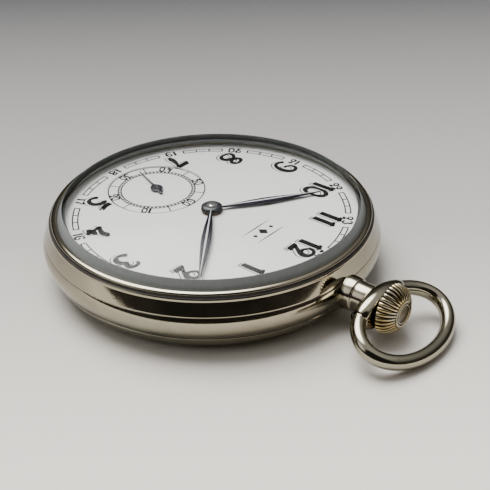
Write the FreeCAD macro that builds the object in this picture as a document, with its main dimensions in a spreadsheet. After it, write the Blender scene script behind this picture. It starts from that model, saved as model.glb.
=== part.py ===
import FreeCAD, Part
import math
import os
import re
import Sketcher

# Open face pocket watch with a 19-ligne lever movement. Millimetres.
# The watch lies on its back: +Z points out of the dial, +Y towards the crown
# (12 o'clock), +X towards 3 o'clock. The origin is on the dial's axis, at the
# flat of the back cover.

SIZES = [
    # case, outside
    ("belly_radius", 24.0, "widest radius of the case"),
    ("belly_level", 5.1, "height of the widest radius"),
    ("belly_curve_in", 0.09, "where the belly's tight curve ends, in from the widest radius"),
    ("belly_curve_up", 0.58, "where it ends, above the widest radius"),
    ("front_seam_radius", 23.7, "seam between bezel and case middle"),
    ("front_seam_level", 6.28, "height of the front seam"),
    ("back_seam_radius", 23.15, "seam between case middle and back cover"),
    ("back_seam_level", 2.8, "height of the back seam"),
    ("back_flat_radius", 19.5, "flat of the back cover"),
    ("shoulder_radius", 22.84, "bezel shoulder, at the foot of the ridge"),
    ("shoulder_level", 8.66, "height of that foot"),
    ("shoulder_round_out", 0.14, "rounded top of the bezel's wall, along the radius"),
    ("shoulder_round_down", 0.3, "rounded top of the bezel's wall, along the height"),
    ("ridge_radius", 22.17, "middle of the bezel's round ridge"),
    ("ridge_half", 0.43, "half width of the ridge"),
    ("ridge_level", 8.86, "height of the ridge's middle"),
    ("cover_wall", 0.6, "sheet thickness of the back cover"),
    # case, inside
    ("bore_radius", 21.3, "bore that holds the movement"),
    ("dial_seat_radius", 21.85, "recess round the dial"),
    ("ledge_radius", 20.7, "inner ledge under the main plate"),
    ("rim_radius", 22.58, "rim the bezel presses over"),
    ("back_rim_radius", 22.42, "rim the back cover presses over"),
    ("play", 0.04, "running clearance on a radius"),
    # crystal
    ("crystal_top", 10.4, "height of the crystal's flat top"),
    ("crystal_flat_radius", 21.02, "flat top, inside the bevel"),
    ("crystal_radius", 21.7, "crystal at the foot of the bevel"),
    ("crystal_inside", 9.62, "underside of the crystal"),
    # dial and hands
    ("dial_top", 8.4, "height of the dial"),
    ("dial_thickness", 0.6, "enamelled dial"),
    ("dial_radius", 21.75, "edge of the dial"),
    ("seconds_offset", 10.7, "seconds arbor below the dial's centre"),
    ("seconds_sink", 7.3, "radius of the sunk seconds dial"),
    ("hour_hand_length", 16.3, "centre to tip"),
    ("minute_hand_length", 19.1, "centre to tip"),
    ("seconds_hand_length", 6.0, "seconds arbor to tip"),
    ("hour_angle", 304.5, "clockwise from 12, degrees"),
    ("minute_angle", 54.0, "clockwise from 12, degrees"),
    ("seconds_angle", 201.5, "clockwise from 60, degrees"),
    # winding stem, pendant, crown and bow
    ("stem_level", 4.4, "height of the stem's axis"),
    ("stem_radius", 0.95, "round part of the stem"),
    ("neck_radius", 2.35, "pendant neck at the case"),
    ("head_centre", 28.65, "pendant head, from the dial's axis"),
    ("head_half_length", 5.6, "oval head along X"),
    ("head_half_depth", 2.0, "oval head along Y"),
    ("head_half_height", 2.55, "oval head along Z"),
    ("head_end", 4.72, "flat ends of the head, where the bow turns"),
    ("head_face", 29.72, "outer face of the head, behind the crown"),
    ("crown_back", 29.95, "back face of the crown"),
    ("crown_front", 32.3, "flat cap of the crown"),
    ("crown_radius", 3.68, "crown over its ribs"),
    ("crown_cap_radius", 1.9, "flat cap of the crown"),
    ("crown_ribs", 32, "ribs round the crown"),
    ("bow_hinge", 28.9, "bow axis, from the dial's axis"),
    ("bow_wire_radius", 1.05, "half thickness of the bow's wire"),
    ("bow_half_width", 7.95, "bow centre line along X"),
    ("bow_half_reach", 4.95, "bow centre line across"),
    ("bow_offset", 3.76, "bow's own centre from its hinge"),
    ("bow_droop", 22.5, "degrees below level, lying on the table"),
    # movement frame
    ("plate_radius", 21.2, "main plate"),
    ("plate_under", 5.75, "inner face of the main plate"),
    ("plate_top", 7.78, "dial side of the main plate"),
    ("bridge_radius", 20.5, "outline of the bridges"),
    ("bridge_inner", 3.3, "inner face of the bridges"),
    ("bridge_back", 2.2, "back face of the bridges"),
    ("motion_floor", 6.72, "floor of the motion work recess"),
    ("pivot_radius", 0.12, "train pivots"),
    ("jewel_radius", 0.75, "train jewels"),
    # train
    ("barrel_module", 0.22, "barrel and centre pinion"),
    ("barrel_angle", 155.0, "barrel from centre, degrees from +X"),
    ("train_module", 0.125, "centre and third wheels"),
    ("fourth_module", 0.12, "fourth wheel and escape pinion"),
    ("escape_radius", 3.4, "tips of the escape wheel"),
    ("balance_x", 11.6, "balance staff"),
    ("balance_y", -4.6, "balance staff"),
    ("balance_rim", 7.1, "outer radius of the balance rim"),
    ("balance_rim_inner", 6.4, "inner radius of the balance rim"),
    # motion and keyless work
    ("motion_module", 0.18, "cannon pinion, minute and setting wheels"),
    ("minute_wheel_angle", 65.0, "minute wheel from centre, degrees from +X"),
    ("setting_wheel_angle", 104.2, "setting wheel from minute wheel"),
    ("crown_wheel_y", 11.9, "crown wheel on the stem's line"),
    ("clutch_radius", 1.8, "sliding pinion"),
    ("stem_square", 1.3, "square of the stem, side to side"),
    ("lever_level", 7.05, "setting lever"),
    ("yoke_level", 6.32, "yoke and its spring"),
    ("setting_bridge_level", 7.44, "thin plate over lever and yoke"),
    ("keyless_thickness", 0.28, "yoke and its spring"),
    ("click_level", 1.82, "click and its spring"),
    ("click_thickness", 0.3, "click and its spring"),
    ("dust_cover_level", 1.25, "back face of the dust cover"),
    ("dust_cover_wall", 0.35, "sheet thickness of the dust cover"),
    ("screw_bore", 0.5, "radius of the screw holes"),
    ("screw_seat", 1.0, "radius of the sunk screw heads"),
    ("fork_level", 4.5, "pallet fork and escape wheel"),
    ("cock_back", 2.05, "back face of the balance cock"),
    ("hour_hand_level", 8.78, "underside of the hour hand"),
    ("minute_hand_level", 9.13, "underside of the minute hand"),
    ("seconds_hand_level", 8.56, "underside of the seconds hand"),
    ("hand_thickness", 0.18, "hour and minute hands"),
    ("seconds_hand_thickness", 0.12, "seconds hand"),
]

TEETH = {
    "barrel": 78, "centre_pinion": 12, "centre": 80, "third_pinion": 10,
    "third": 75, "fourth_pinion": 10, "fourth": 80, "escape_pinion": 8,
    "escape": 15, "cannon": 12, "minute": 36, "minute_pinion": 10, "hour": 40,
    "setting": 20, "ratchet": 50, "crown_wheel": 34, "winding": 16,
}

# Low and high face of each toothed rim, from the back of the watch.
LEVELS = {
    "ratchet": (1.75, 2.15), "crown_wheel": (1.75, 2.15), "barrel": (3.5, 4.0),
    "centre_pinion": (3.42, 4.1), "centre": (5.35, 5.58),
    "third_pinion": (5.25, 5.68), "third": (4.15, 4.35),
    "fourth_pinion": (4.0, 4.6), "fourth": (4.95, 5.17),
    "escape_pinion": (4.85, 5.4), "escape": (4.5, 4.72),
    "cannon": (6.78, 7.12), "minute": (6.78, 7.05), "minute_pinion": (7.0, 7.58),
    "hour": (7.2, 7.45), "setting": (6.0, 7.05), "balance_rim": (3.35, 4.0),
}

doc = FreeCAD.newDocument("OpenFaceWatch")
sheet = doc.addObject("Spreadsheet::Sheet", "Sizes")
for row, (alias, value, note) in enumerate(SIZES, start=1):
    sheet.set(f"A{row}", alias)
    sheet.set(f"B{row}", str(value))
    sheet.set(f"C{row}", note)
    sheet.setAlias(f"B{row}", alias)
doc.recompute()
ALIASES = {alias for alias, value, note in SIZES}
SUBPARTS = []


# ---------------------------------------------------------------- helpers

def formula(text):
    """Write an expression in plain aliases as one that FreeCAD can bind."""
    def full(match):
        word = match.group(0)
        return "Sizes." + word if word in ALIASES else word
    return re.sub(r"[a-z_]+", full, str(text))


def size(text):
    """The present value of an expression."""
    return float(sheet.evalExpression(formula(text)))


def place(item, x="0", y="0", z="0", rotation=None):
    """Put an object in the watch, its position bound to the sheet."""
    base = FreeCAD.Vector(size(x), size(y), size(z))
    item.Placement = FreeCAD.Placement(base, rotation or FreeCAD.Rotation())
    for axis, text in (("x", x), ("y", y), ("z", z)):
        item.setExpression("Placement.Base." + axis, formula(text))


def new_body(label, x="0", y="0", z="0", rotation=None):
    body = doc.addObject("PartDesign::Body", label)
    body.Label = label
    place(body, x, y, z, rotation)
    SUBPARTS.append(body)
    return body


def sketch_on(body, role="XY_Plane", lift="0"):
    """A sketch on one of the body's own origin planes."""
    sketch = body.newObject("Sketcher::SketchObject", body.Label + "_sketch")
    plane = [item for item in body.Origin.OriginFeatures if item.Role == role][0]
    sketch.AttachmentSupport = [(plane, "")]
    sketch.MapMode = "FlatFace"
    sketch.AttachmentOffset = FreeCAD.Placement(FreeCAD.Vector(0, 0, size(lift)), FreeCAD.Rotation())
    sketch.setExpression("AttachmentOffset.Base.z", formula(lift))
    return sketch


def pin_down(sketch, geometry, end, x, y):
    """Bind one point of a sketch to two expressions."""
    for kind, axis, text in (("DistanceX", -2, x), ("DistanceY", -1, y)):
        if str(text) == "0":
            sketch.addConstraint(Sketcher.Constraint("PointOnObject", geometry, end, axis))
        else:
            index = sketch.addConstraint(Sketcher.Constraint(kind, -1, 1, geometry, end, size(text)))
            sketch.setExpression(f"Constraints[{index}]", formula(text))


def arc_between(start, finish, radius):
    """The short arc between two points: a positive radius turns left."""
    chord = finish - start
    rise = math.sqrt(max(radius ** 2 - (chord.Length / 2) ** 2, 0))
    side = FreeCAD.Vector(-chord.y, chord.x, 0).normalize() * math.copysign(1, radius)
    centre = (start + finish) * 0.5 + side * rise
    outward = ((start + finish) * 0.5 - centre)
    if outward.Length < 1e-9:
        outward = side * -1
    middle = centre + outward.normalize() * abs(radius)
    return Part.Arc(start, middle, finish)


def outline(sketch, corners):
    """A closed outline. Each corner is (x, y) or (x, y, radius), where the
    radius makes the next stretch an arc that turns left, or right if it
    starts with a minus sign."""
    points = [FreeCAD.Vector(size(corner[0]), size(corner[1]), 0) for corner in corners]
    ends = []
    for index, corner in enumerate(corners):
        start = points[index]
        finish = points[(index + 1) % len(points)]
        if len(corner) == 2:
            geometry = sketch.addGeometry(Part.LineSegment(start, finish))
            ends.append((geometry, 1, 2))
            continue
        arc = arc_between(start, finish, size(corner[2]))
        geometry = sketch.addGeometry(arc)
        forward = sketch.getPoint(geometry, 1).distanceToPoint(start) < 1e-6
        ends.append((geometry, 1, 2) if forward else (geometry, 2, 1))
        bound = sketch.addConstraint(Sketcher.Constraint("Radius", geometry, abs(size(corner[2]))))
        sketch.setExpression(f"Constraints[{bound}]", formula(str(corner[2]).lstrip("-")))
    for index in range(len(ends)):
        this, following = ends[index], ends[(index + 1) % len(ends)]
        sketch.addConstraint(Sketcher.Constraint("Coincident", this[0], this[2], following[0], following[1]))
    for index, corner in enumerate(corners):
        pin_down(sketch, ends[index][0], ends[index][1], corner[0], corner[1])


def circle(sketch, x, y, radius):
    centre = FreeCAD.Vector(size(x), size(y), 0)
    geometry = sketch.addGeometry(Part.Circle(centre, FreeCAD.Vector(0, 0, 1), size(radius)))
    bound = sketch.addConstraint(Sketcher.Constraint("Radius", geometry, size(radius)))
    sketch.setExpression(f"Constraints[{bound}]", formula(radius))
    pin_down(sketch, geometry, 3, x, y)


def box_corners(x_low, x_high, y_low, y_high):
    return [(x_low, y_low), (x_high, y_low), (x_high, y_high), (x_low, y_high)]


def revolve(body, corners):
    """Turn an outline (radius, height) about the body's own Z axis."""
    sketch = sketch_on(body, "XZ_Plane")
    outline(sketch, corners)
    turned = body.newObject("PartDesign::Revolution", body.Label + "_turned")
    turned.Profile = sketch
    turned.ReferenceAxis = (sketch, ["V_Axis"])
    turned.Angle = 360
    sketch.Visibility = False
    return turned


def pad(body, sketch, length):
    padded = body.newObject("PartDesign::Pad", body.Label + "_pad")
    padded.Profile = sketch
    padded.Length = size(length)
    padded.setExpression("Length", formula(length))
    return padded


def pocket(body, sketch, depth, upwards=True):
    """Cut away from the sketch, upwards (+Z) or downwards."""
    cut = body.newObject("PartDesign::Pocket", body.Label + "_pocket")
    cut.Profile = sketch
    cut.Length = size(depth)
    cut.setExpression("Length", formula(depth))
    cut.Reversed = upwards
    return cut


def holes(body, places, radius, low, depth):
    """Straight holes along Z that start at the height low and rise by depth."""
    sketch = sketch_on(body, lift=low)
    for x, y in places:
        circle(sketch, x, y, radius)
    return pocket(body, sketch, depth)


def pattern(body, feature, axis_role, count):
    """Repeat a feature evenly round one of the body's axes."""
    axis = [item for item in body.Origin.OriginFeatures if item.Role == axis_role][0]
    copies = body.newObject("PartDesign::PolarPattern", body.Label + "_pattern")
    copies.Originals = [feature]
    copies.Axis = (axis, [""])
    copies.Angle = 360
    copies.Occurrences = count
    body.Tip = copies
    return copies


def feature(label, shape, x=0.0, y=0.0, z=0.0, rotation=None):
    """A sub-part whose outline follows a formula, given its own Placement."""
    item = doc.addObject("Part::Feature", label)
    item.Label = label
    item.Shape = shape
    item.Placement = FreeCAD.Placement(FreeCAD.Vector(x, y, z), rotation or FreeCAD.Rotation())
    SUBPARTS.append(item)
    return item


def ring(inner, outer, low, high):
    """A plain washer about Z, or a disc where inner is 0."""
    disc = Part.makeCylinder(outer, high - low, FreeCAD.Vector(0, 0, low))
    if inner <= 0:
        return disc
    return disc.cut(Part.makeCylinder(inner, high - low, FreeCAD.Vector(0, 0, low)))


def polygon_prism(points, low, high):
    wire = Part.makePolygon([FreeCAD.Vector(x, y, low) for x, y in points + points[:1]])
    return Part.Face(wire).extrude(FreeCAD.Vector(0, 0, high - low))


def polar(radius, angle):
    return radius * math.cos(angle), radius * math.sin(angle)


def turned_solid(stations):
    """A turned arbor from (radius, height) stations, lowest first."""
    points = [(0.0, stations[0][1])] + list(stations) + [(0.0, stations[-1][1])]
    vectors = [FreeCAD.Vector(radius, 0, level) for radius, level in points]
    face = Part.Face(Part.makePolygon(vectors + vectors[:1]))
    return face.revolve(FreeCAD.Vector(), FreeCAD.Vector(0, 0, 1), 360)


# Heights in modules; widths as shares of the pitch.
WHEEL_TOOTH = {"addendum": 0.85, "dedendum": 1.2, "flank": 0.42, "tip": 0.17, "fillet": 0.04}
PINION_LEAF = {"addendum": 0.6, "dedendum": 1.2, "flank": 0.34, "tip": 0.13, "fillet": 0.04}


def toothed_prism(teeth, module, low, high, phase=0.0, form=WHEEL_TOOTH):
    """A spur-toothed disc. phase is the direction of one tooth, in radians."""
    pitch_radius = module * teeth / 2
    root = pitch_radius - form["dedendum"] * module
    tip = pitch_radius + form["addendum"] * module
    half_steps = (
        (root, form["flank"] / 2 + form["fillet"]),
        (pitch_radius, form["flank"] / 2),
        (tip, form["tip"] / 2),
    )
    steps = [(radius, -part) for radius, part in half_steps]
    steps += [(radius, part) for radius, part in reversed(half_steps)]
    pitch = 2 * math.pi / teeth
    points = []
    for tooth in range(teeth):
        points += [polar(radius, phase + (tooth + part) * pitch) for radius, part in steps]
    return polygon_prism(points, low, high)


def spoked(solid, hub, rim, spokes, low, high, spoke_width=0.5):
    """Open windows between a hub and a rim, leaving straight spokes."""
    window = ring(hub, rim, low - 1, high + 1)
    corner = FreeCAD.Vector(0, -spoke_width / 2, low - 2)
    for spoke in range(spokes):
        bar = Part.makeBox(rim + 1, spoke_width, high - low + 4, corner)
        bar.rotate(FreeCAD.Vector(), FreeCAD.Vector(0, 0, 1), 360.0 / spokes * spoke + 20)
        window = window.cut(bar)
    return solid.cut(window)


def meshing_phase(driver, driver_teeth, driver_phase, driven, driven_teeth):
    """The phase that puts a driven gear's gap against the driver's tooth."""
    line = math.atan2(driven[1] - driver[1], driven[0] - driver[0])
    part = (driver_phase - line) * driver_teeth / (2 * math.pi) + 0.5
    return line + math.pi - part * 2 * math.pi / driven_teeth


def spiral_prism(inner, outer, turns, thickness, low, high, start=0.0):
    """A flat spiral spring of even pitch."""
    steps = int(turns * 10)
    edges = []
    for side in (-thickness / 2, thickness / 2):
        points = []
        for step in range(steps + 1):
            share = step / steps
            x, y = polar(inner + (outer - inner) * share + side, start + 2 * math.pi * turns * share)
            points.append(FreeCAD.Vector(x, y, low))
        curve = Part.BSplineCurve()
        curve.interpolate(points)
        edges.append(curve.toShape())
    caps = [Part.makeLine(edges[0].Vertexes[end].Point, edges[1].Vertexes[end].Point) for end in (0, 1)]
    wire = Part.Wire(Part.__sortEdges__(edges + caps))
    return Part.Face(wire).extrude(FreeCAD.Vector(0, 0, high - low))


TOWARDS_CROWN = FreeCAD.Rotation(FreeCAD.Vector(1, 0, 0), -90)
ALONG_X = FreeCAD.Rotation(FreeCAD.Vector(0, 1, 0), 90)


# ---------------------------------------------------------------- places

def train_places():
    """Where each arbor stands, from the modules and the tooth counts."""
    places = {"centre": (0.0, 0.0), "fourth": (0.0, -size("seconds_offset"))}
    reach = size("barrel_module") * (TEETH["barrel"] + TEETH["centre_pinion"]) / 2
    places["barrel"] = polar(reach, math.radians(size("barrel_angle")))
    first = size("train_module") * (TEETH["centre"] + TEETH["third_pinion"]) / 2
    second = size("train_module") * (TEETH["third"] + TEETH["fourth_pinion"]) / 2
    gap = size("seconds_offset")
    down = (first ** 2 - second ** 2 + gap ** 2) / (2 * gap)
    places["third"] = (math.sqrt(first ** 2 - down ** 2), -down)
    reach = size("fourth_module") * (TEETH["fourth"] + TEETH["escape_pinion"]) / 2
    places["escape"] = (reach, -gap)
    places["balance"] = (size("balance_x"), size("balance_y"))
    run_x = places["balance"][0] - places["escape"][0]
    run_y = places["balance"][1] - places["escape"][1]
    share = size("escape_radius") / math.cos(math.radians(30)) / math.hypot(run_x, run_y)
    places["pallet"] = (places["escape"][0] + run_x * share, places["escape"][1] + run_y * share)
    reach = size("motion_module") * (TEETH["cannon"] + TEETH["minute"]) / 2
    places["minute"] = polar(reach, math.radians(size("minute_wheel_angle")))
    reach = size("motion_module") * (TEETH["minute"] + TEETH["setting"]) / 2
    step_x, step_y = polar(reach, math.radians(size("setting_wheel_angle")))
    places["setting"] = (places["minute"][0] + step_x, places["minute"][1] + step_y)
    places["crown_wheel"] = (0.0, size("crown_wheel_y"))
    return places


AT = train_places()
WINDING_MODULE = 2 * math.dist(AT["barrel"], AT["crown_wheel"]) / (TEETH["ratchet"] + TEETH["crown_wheel"])
WINDING_PLANE = AT["crown_wheel"][1] + WINDING_MODULE * TEETH["crown_wheel"] / 2
HOUR_MODULE = 2 * math.dist(AT["centre"], AT["minute"]) / (TEETH["minute_pinion"] + TEETH["hour"])


def num(value):
    """A computed length as plain text for a sketch."""
    return f"{value:.5f}"


def spot(name):
    """One arbor's place, as text."""
    return num(AT[name][0]), num(AT[name][1])


# ---------------------------------------------------------------- case

def case_side():
    """Outline of the case's side, from the back seam up to the front seam."""
    return [
        ("back_seam_radius", "back_seam_level", "3.54"),
        ("belly_radius", "belly_level", "1.92"),
        ("belly_radius - belly_curve_in", "belly_level + belly_curve_up"),
        ("front_seam_radius", "front_seam_level"),
    ]


def make_case_middle():
    """Band of the case, with the rims that bezel and back cover press over."""
    body = new_body("case_middle")
    revolve(body, [
        ("bore_radius", "back_seam_level - 1"),
        ("back_rim_radius", "back_seam_level - 1"),
        ("back_rim_radius", "back_seam_level"),
        *case_side(),
        ("rim_radius", "front_seam_level"),
        ("rim_radius", "dial_top - 0.02"),
        ("dial_seat_radius", "dial_top - 0.02"),
        ("dial_seat_radius", "plate_top"),
        ("bore_radius", "plate_top"),
        ("bore_radius", "plate_under"),
        ("ledge_radius", "plate_under"),
        ("ledge_radius", "plate_under - 0.5"),
        ("bore_radius", "plate_under - 0.5"),
    ])
    sketch = sketch_on(body, "XZ_Plane")
    circle(sketch, "0", "stem_level", "stem_radius + 0.1")
    pocket(body, sketch, "belly_radius + 1", upwards=False)


def make_back_cover():
    """Shallow dish pressed on from behind."""
    body = new_body("back_cover")
    revolve(body, [
        ("0", "0"),
        ("back_flat_radius", "0", "3.78"),
        ("back_seam_radius", "back_seam_level - 0.02"),
        ("back_rim_radius + play", "back_seam_level - 0.02"),
        ("back_rim_radius + play", "back_seam_level - 1.06", "-3.18"),
        ("back_flat_radius", "cover_wall"),
        ("0", "cover_wall"),
    ])


def make_dust_cover():
    """Thin inner back that keeps dust off the movement."""
    body = new_body("dust_cover")
    revolve(body, [
        ("0", "dust_cover_level"),
        ("bore_radius - 0.3", "dust_cover_level"),
        ("bore_radius - 0.1", "dust_cover_level + 0.25"),
        ("bore_radius + 0.3", "dust_cover_level + 0.25"),
        ("bore_radius + 0.3", "back_seam_level - 1.02"),
        ("bore_radius - play", "back_seam_level - 1.02"),
        ("bore_radius - play", "2.3"),
        ("bore_radius - 0.4", "2.3"),
        ("bore_radius - 0.4", "dust_cover_level + dust_cover_wall"),
        ("0", "dust_cover_level + dust_cover_wall"),
    ])


def make_bezel():
    """Ring over the rim of the case middle, with a round ridge at the glass."""
    body = new_body("bezel")
    revolve(body, [
        ("rim_radius + play", "front_seam_level + 0.02"),
        ("front_seam_radius", "front_seam_level + 0.02", "30"),
        ("shoulder_radius + shoulder_round_out", "shoulder_level - shoulder_round_down", "0.45"),
        ("shoulder_radius", "shoulder_level"),
        ("ridge_radius + ridge_half", "shoulder_level"),
        ("ridge_radius + ridge_half", "ridge_level", "ridge_half * 1.01"),
        ("ridge_radius - ridge_half", "ridge_level"),
        ("ridge_radius - ridge_half", "shoulder_level + 0.04"),
        ("crystal_radius - 0.45", "shoulder_level + 0.04"),
        ("crystal_radius - 0.45", "dial_top + 0.06"),
        ("rim_radius + play", "dial_top + 0.06"),
    ])


def make_crystal():
    """Flat mineral glass with a steep bevel, standing proud of the bezel."""
    body = new_body("crystal")
    revolve(body, [
        ("0", "crystal_inside"),
        ("crystal_flat_radius - 0.5", "crystal_inside"),
        ("crystal_radius - 0.5", "shoulder_level + 0.08"),
        ("crystal_radius - 0.02", "shoulder_level + 0.08"),
        ("crystal_radius - 0.02", "ridge_level + 0.15"),
        ("crystal_flat_radius", "crystal_top"),
        ("0", "crystal_top"),
    ])


def make_pendant():
    """Tapered neck and oval head, bored for the stem and for the bow's pins."""
    neck = doc.addObject("PartDesign::Body", "pendant_neck")
    place(neck, "0", "0", "stem_level", TOWARDS_CROWN)
    revolve(neck, [
        ("stem_radius + 0.15", "22"),
        ("neck_radius", "22"),
        ("neck_radius", "24.4"),
        ("neck_radius - 0.1", "25.25"),
        ("neck_radius - 0.25", "25.3"),
        ("neck_radius - 0.35", "27.4"),
        ("stem_radius + 0.15", "27.4"),
    ])
    envelope = doc.addObject("PartDesign::Body", "case_envelope")
    place(envelope)
    revolve(envelope, [
        ("0", "-1"),
        ("back_seam_radius + 0.06", "-1"),
        ("back_seam_radius + 0.06", "back_seam_level"),
        *case_side(),
        ("front_seam_radius + 0.06", "front_seam_level"),
        ("front_seam_radius + 0.06", "dial_top"),
        ("0", "dial_top"),
    ])
    head = doc.addObject("Part::Ellipsoid", "pendant_oval")
    head.setExpression("Radius1", formula("head_half_height"))
    head.setExpression("Radius2", formula("head_half_length"))
    head.setExpression("Radius3", formula("head_half_depth"))
    head.Angle1 = -90
    place(head, "0", "head_centre", "stem_level")
    middle = doc.addObject("Part::Box", "pendant_middle")
    middle.setExpression("Length", formula("head_end * 2"))
    middle.setExpression("Width", formula("head_face - 20"))
    middle.Height = 20
    place(middle, "-head_end", "20", "stem_level - 10")
    trimmed = doc.addObject("Part::Common", "pendant_head")
    trimmed.Base, trimmed.Tool = head, middle
    foot = doc.addObject("Part::Cut", "pendant_foot")
    foot.Base, foot.Tool = neck, envelope
    joined = doc.addObject("Part::Fuse", "pendant_joined")
    joined.Base, joined.Tool = foot, trimmed
    stem_bore = doc.addObject("Part::Cylinder", "pendant_stem_bore")
    stem_bore.setExpression("Radius", formula("stem_radius + 0.15"))
    stem_bore.Height = 12
    place(stem_bore, "0", "21", "stem_level", TOWARDS_CROWN)
    bored = doc.addObject("Part::Cut", "pendant_bored")
    bored.Base, bored.Tool = joined, stem_bore
    pin_bore = doc.addObject("Part::Cylinder", "pendant_pin_bore")
    pin_bore.setExpression("Radius", formula("bow_wire_radius * 0.5 + play"))
    pin_bore.setExpression("Height", formula("head_end * 2 + 2"))
    place(pin_bore, "-head_end - 1", "bow_hinge", "stem_level", ALONG_X)
    core = doc.addObject("Part::Box", "pendant_core")
    core.setExpression("Length", formula("(head_end - 1.6) * 2"))
    core.Width = 3
    core.Height = 3
    place(core, "1.6 - head_end", "bow_hinge - 1.5", "stem_level - 1.5")
    pin_ends = doc.addObject("Part::Cut", "pendant_pin_ends")
    pin_ends.Base, pin_ends.Tool = pin_bore, core
    pendant = doc.addObject("Part::Cut", "pendant")
    pendant.Base, pendant.Tool = bored, pin_ends
    pendant.Label = "pendant"
    SUBPARTS.append(pendant)


def make_bow():
    """Oval wire ring whose two ends turn on pins in the pendant head."""
    wide, reach, offset = size("bow_half_width"), size("bow_half_reach"), size("bow_offset")
    first_angle, last_angle = 296, 244
    start = math.radians(first_angle)
    centre_line = doc.addObject("Part::Ellipse", "bow_centre_line")
    centre_line.setExpression("MajorRadius", formula("bow_half_width"))
    centre_line.setExpression("MinorRadius", formula("bow_half_reach"))
    centre_line.Angle1 = first_angle
    centre_line.Angle2 = last_angle
    place(centre_line, "0", "bow_offset", "0")
    section = doc.addObject("Part::Circle", "bow_section")
    section.setExpression("Radius", formula("bow_wire_radius"))
    tangent = FreeCAD.Vector(-wide * math.sin(start), reach * math.cos(start), 0)
    section.Placement = FreeCAD.Placement(
        FreeCAD.Vector(wide * math.cos(start), offset + reach * math.sin(start), 0),
        FreeCAD.Rotation(FreeCAD.Vector(0, 0, 1), tangent))
    swept = doc.addObject("Part::Sweep", "bow_wire")
    swept.Sections = [section]
    swept.Spine = (centre_line, ["Edge1"])
    swept.Solid = True
    swept.Frenet = True
    doc.recompute()
    head_room = doc.addObject("Part::Box", "bow_head_room")
    head_room.setExpression("Length", formula("(head_end + play * 2) * 2"))
    head_room.Width = 6
    head_room.Height = 4
    place(head_room, "-head_end - play * 2", "-4", "-2")
    ends = doc.addObject("Part::Cut", "bow_ends")
    ends.Base, ends.Tool = swept, head_room
    pins = doc.addObject("Part::Cylinder", "bow_pins")
    pins.setExpression("Radius", formula("bow_wire_radius * 0.5"))
    pins.setExpression("Height", formula("head_end * 2 + 0.6"))
    place(pins, "-head_end - 0.3", "0", "0", ALONG_X)
    gap = doc.addObject("Part::Box", "bow_gap")
    gap.setExpression("Length", formula("(head_end - 1.5) * 2"))
    gap.Width = 3
    gap.Height = 3
    place(gap, "1.5 - head_end", "-1.5", "-1.5")
    pegs = doc.addObject("Part::Cut", "bow_pegs")
    pegs.Base, pegs.Tool = pins, gap
    bow = doc.addObject("Part::Fuse", "bow")
    bow.Base, bow.Tool = ends, pegs
    bow.Label = "bow"
    droop = FreeCAD.Rotation(FreeCAD.Vector(1, 0, 0), -size("bow_droop"))
    place(bow, "0", "bow_hinge", "stem_level", droop)
    SUBPARTS.append(bow)


def make_crown():
    """Ribbed onion-shaped winding knob with a flat ringed cap."""
    body = new_body("crown", "0", "0", "stem_level", TOWARDS_CROWN)
    revolve(body, [
        ("0", "crown_front - 0.8"),
        ("0.62", "crown_front - 0.8"),
        ("0.62", "crown_back"),
        ("crown_radius - 0.48", "crown_back", "0.9"),
        ("crown_radius", "crown_back + 0.65", "2.4"),
        ("crown_cap_radius", "crown_front - 0.06"),
        ("crown_cap_radius - 0.1", "crown_front"),
        ("crown_cap_radius - 0.5", "crown_front"),
        ("crown_cap_radius - 0.56", "crown_front - 0.08"),
        ("0", "crown_front - 0.08"),
    ])
    flute_at = [("crown_radius + 0.06", "0")]
    flute = holes(body, flute_at, "0.22", "crown_back - 0.1", "crown_front - crown_back")
    pattern(body, flute, "Z_Axis", int(size("crown_ribs")))


# ---------------------------------------------------------------- keyless work

def make_winding_stem():
    """Pilot, square for the clutch, round part with the lever's groove, thread."""
    body = new_body("winding_stem", "0", "0", "stem_level", TOWARDS_CROWN)
    revolve(body, [
        ("0", "9.4"),
        ("0.4", "9.4"),
        ("0.4", "15.85"),
        ("stem_radius", "15.85"),
        ("stem_radius", "18.65"),
        ("stem_radius - 0.35", "18.65"),
        ("stem_radius - 0.35", "19.25"),
        ("stem_radius", "19.25"),
        ("stem_radius", "29"),
        ("0.6", "29"),
        ("0.6", "crown_front - 0.85"),
        ("0", "crown_front - 0.85"),
    ])
    sketch = sketch_on(body, lift="10.7")
    low, high = "-stem_square / 2", "stem_square / 2"
    outline(sketch, box_corners(low, high, low, high))
    pad(body, sketch, "5.2")


def dog_teeth(phase, low, high, inner, outer, count=8, width=16):
    """Raised sectors on the end of a pinion or clutch."""
    teeth = []
    foot, axis = FreeCAD.Vector(0, 0, low), FreeCAD.Vector(0, 0, 1)
    for tooth in range(count):
        wedge = Part.makeCylinder(outer, high - low, foot, axis, width)
        wedge = wedge.cut(Part.makeCylinder(inner, high - low, foot))
        wedge.rotate(FreeCAD.Vector(), FreeCAD.Vector(0, 0, 1), phase + 360 / count * tooth - width / 2)
        teeth.append(wedge)
    return teeth


def make_winding_pinion():
    """Free on the stem's round part, driven by the clutch's end teeth."""
    bore = size("stem_radius + play")
    teeth = toothed_prism(TEETH["winding"], WINDING_MODULE, WINDING_PLANE - 0.26, WINDING_PLANE + 0.7,
                          math.pi / 2, PINION_LEAF)
    hub = ring(0, size("clutch_radius"), 15.8, WINDING_PLANE + 0.7)
    shape = teeth.fuse([hub] + dog_teeth(0, 15.55, 15.85, 1.0, size("clutch_radius")))
    shape = shape.cut(ring(0, bore, 15, 18))
    feature("winding_pinion", shape, 0, 0, size("stem_level"), TOWARDS_CROWN)


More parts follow.
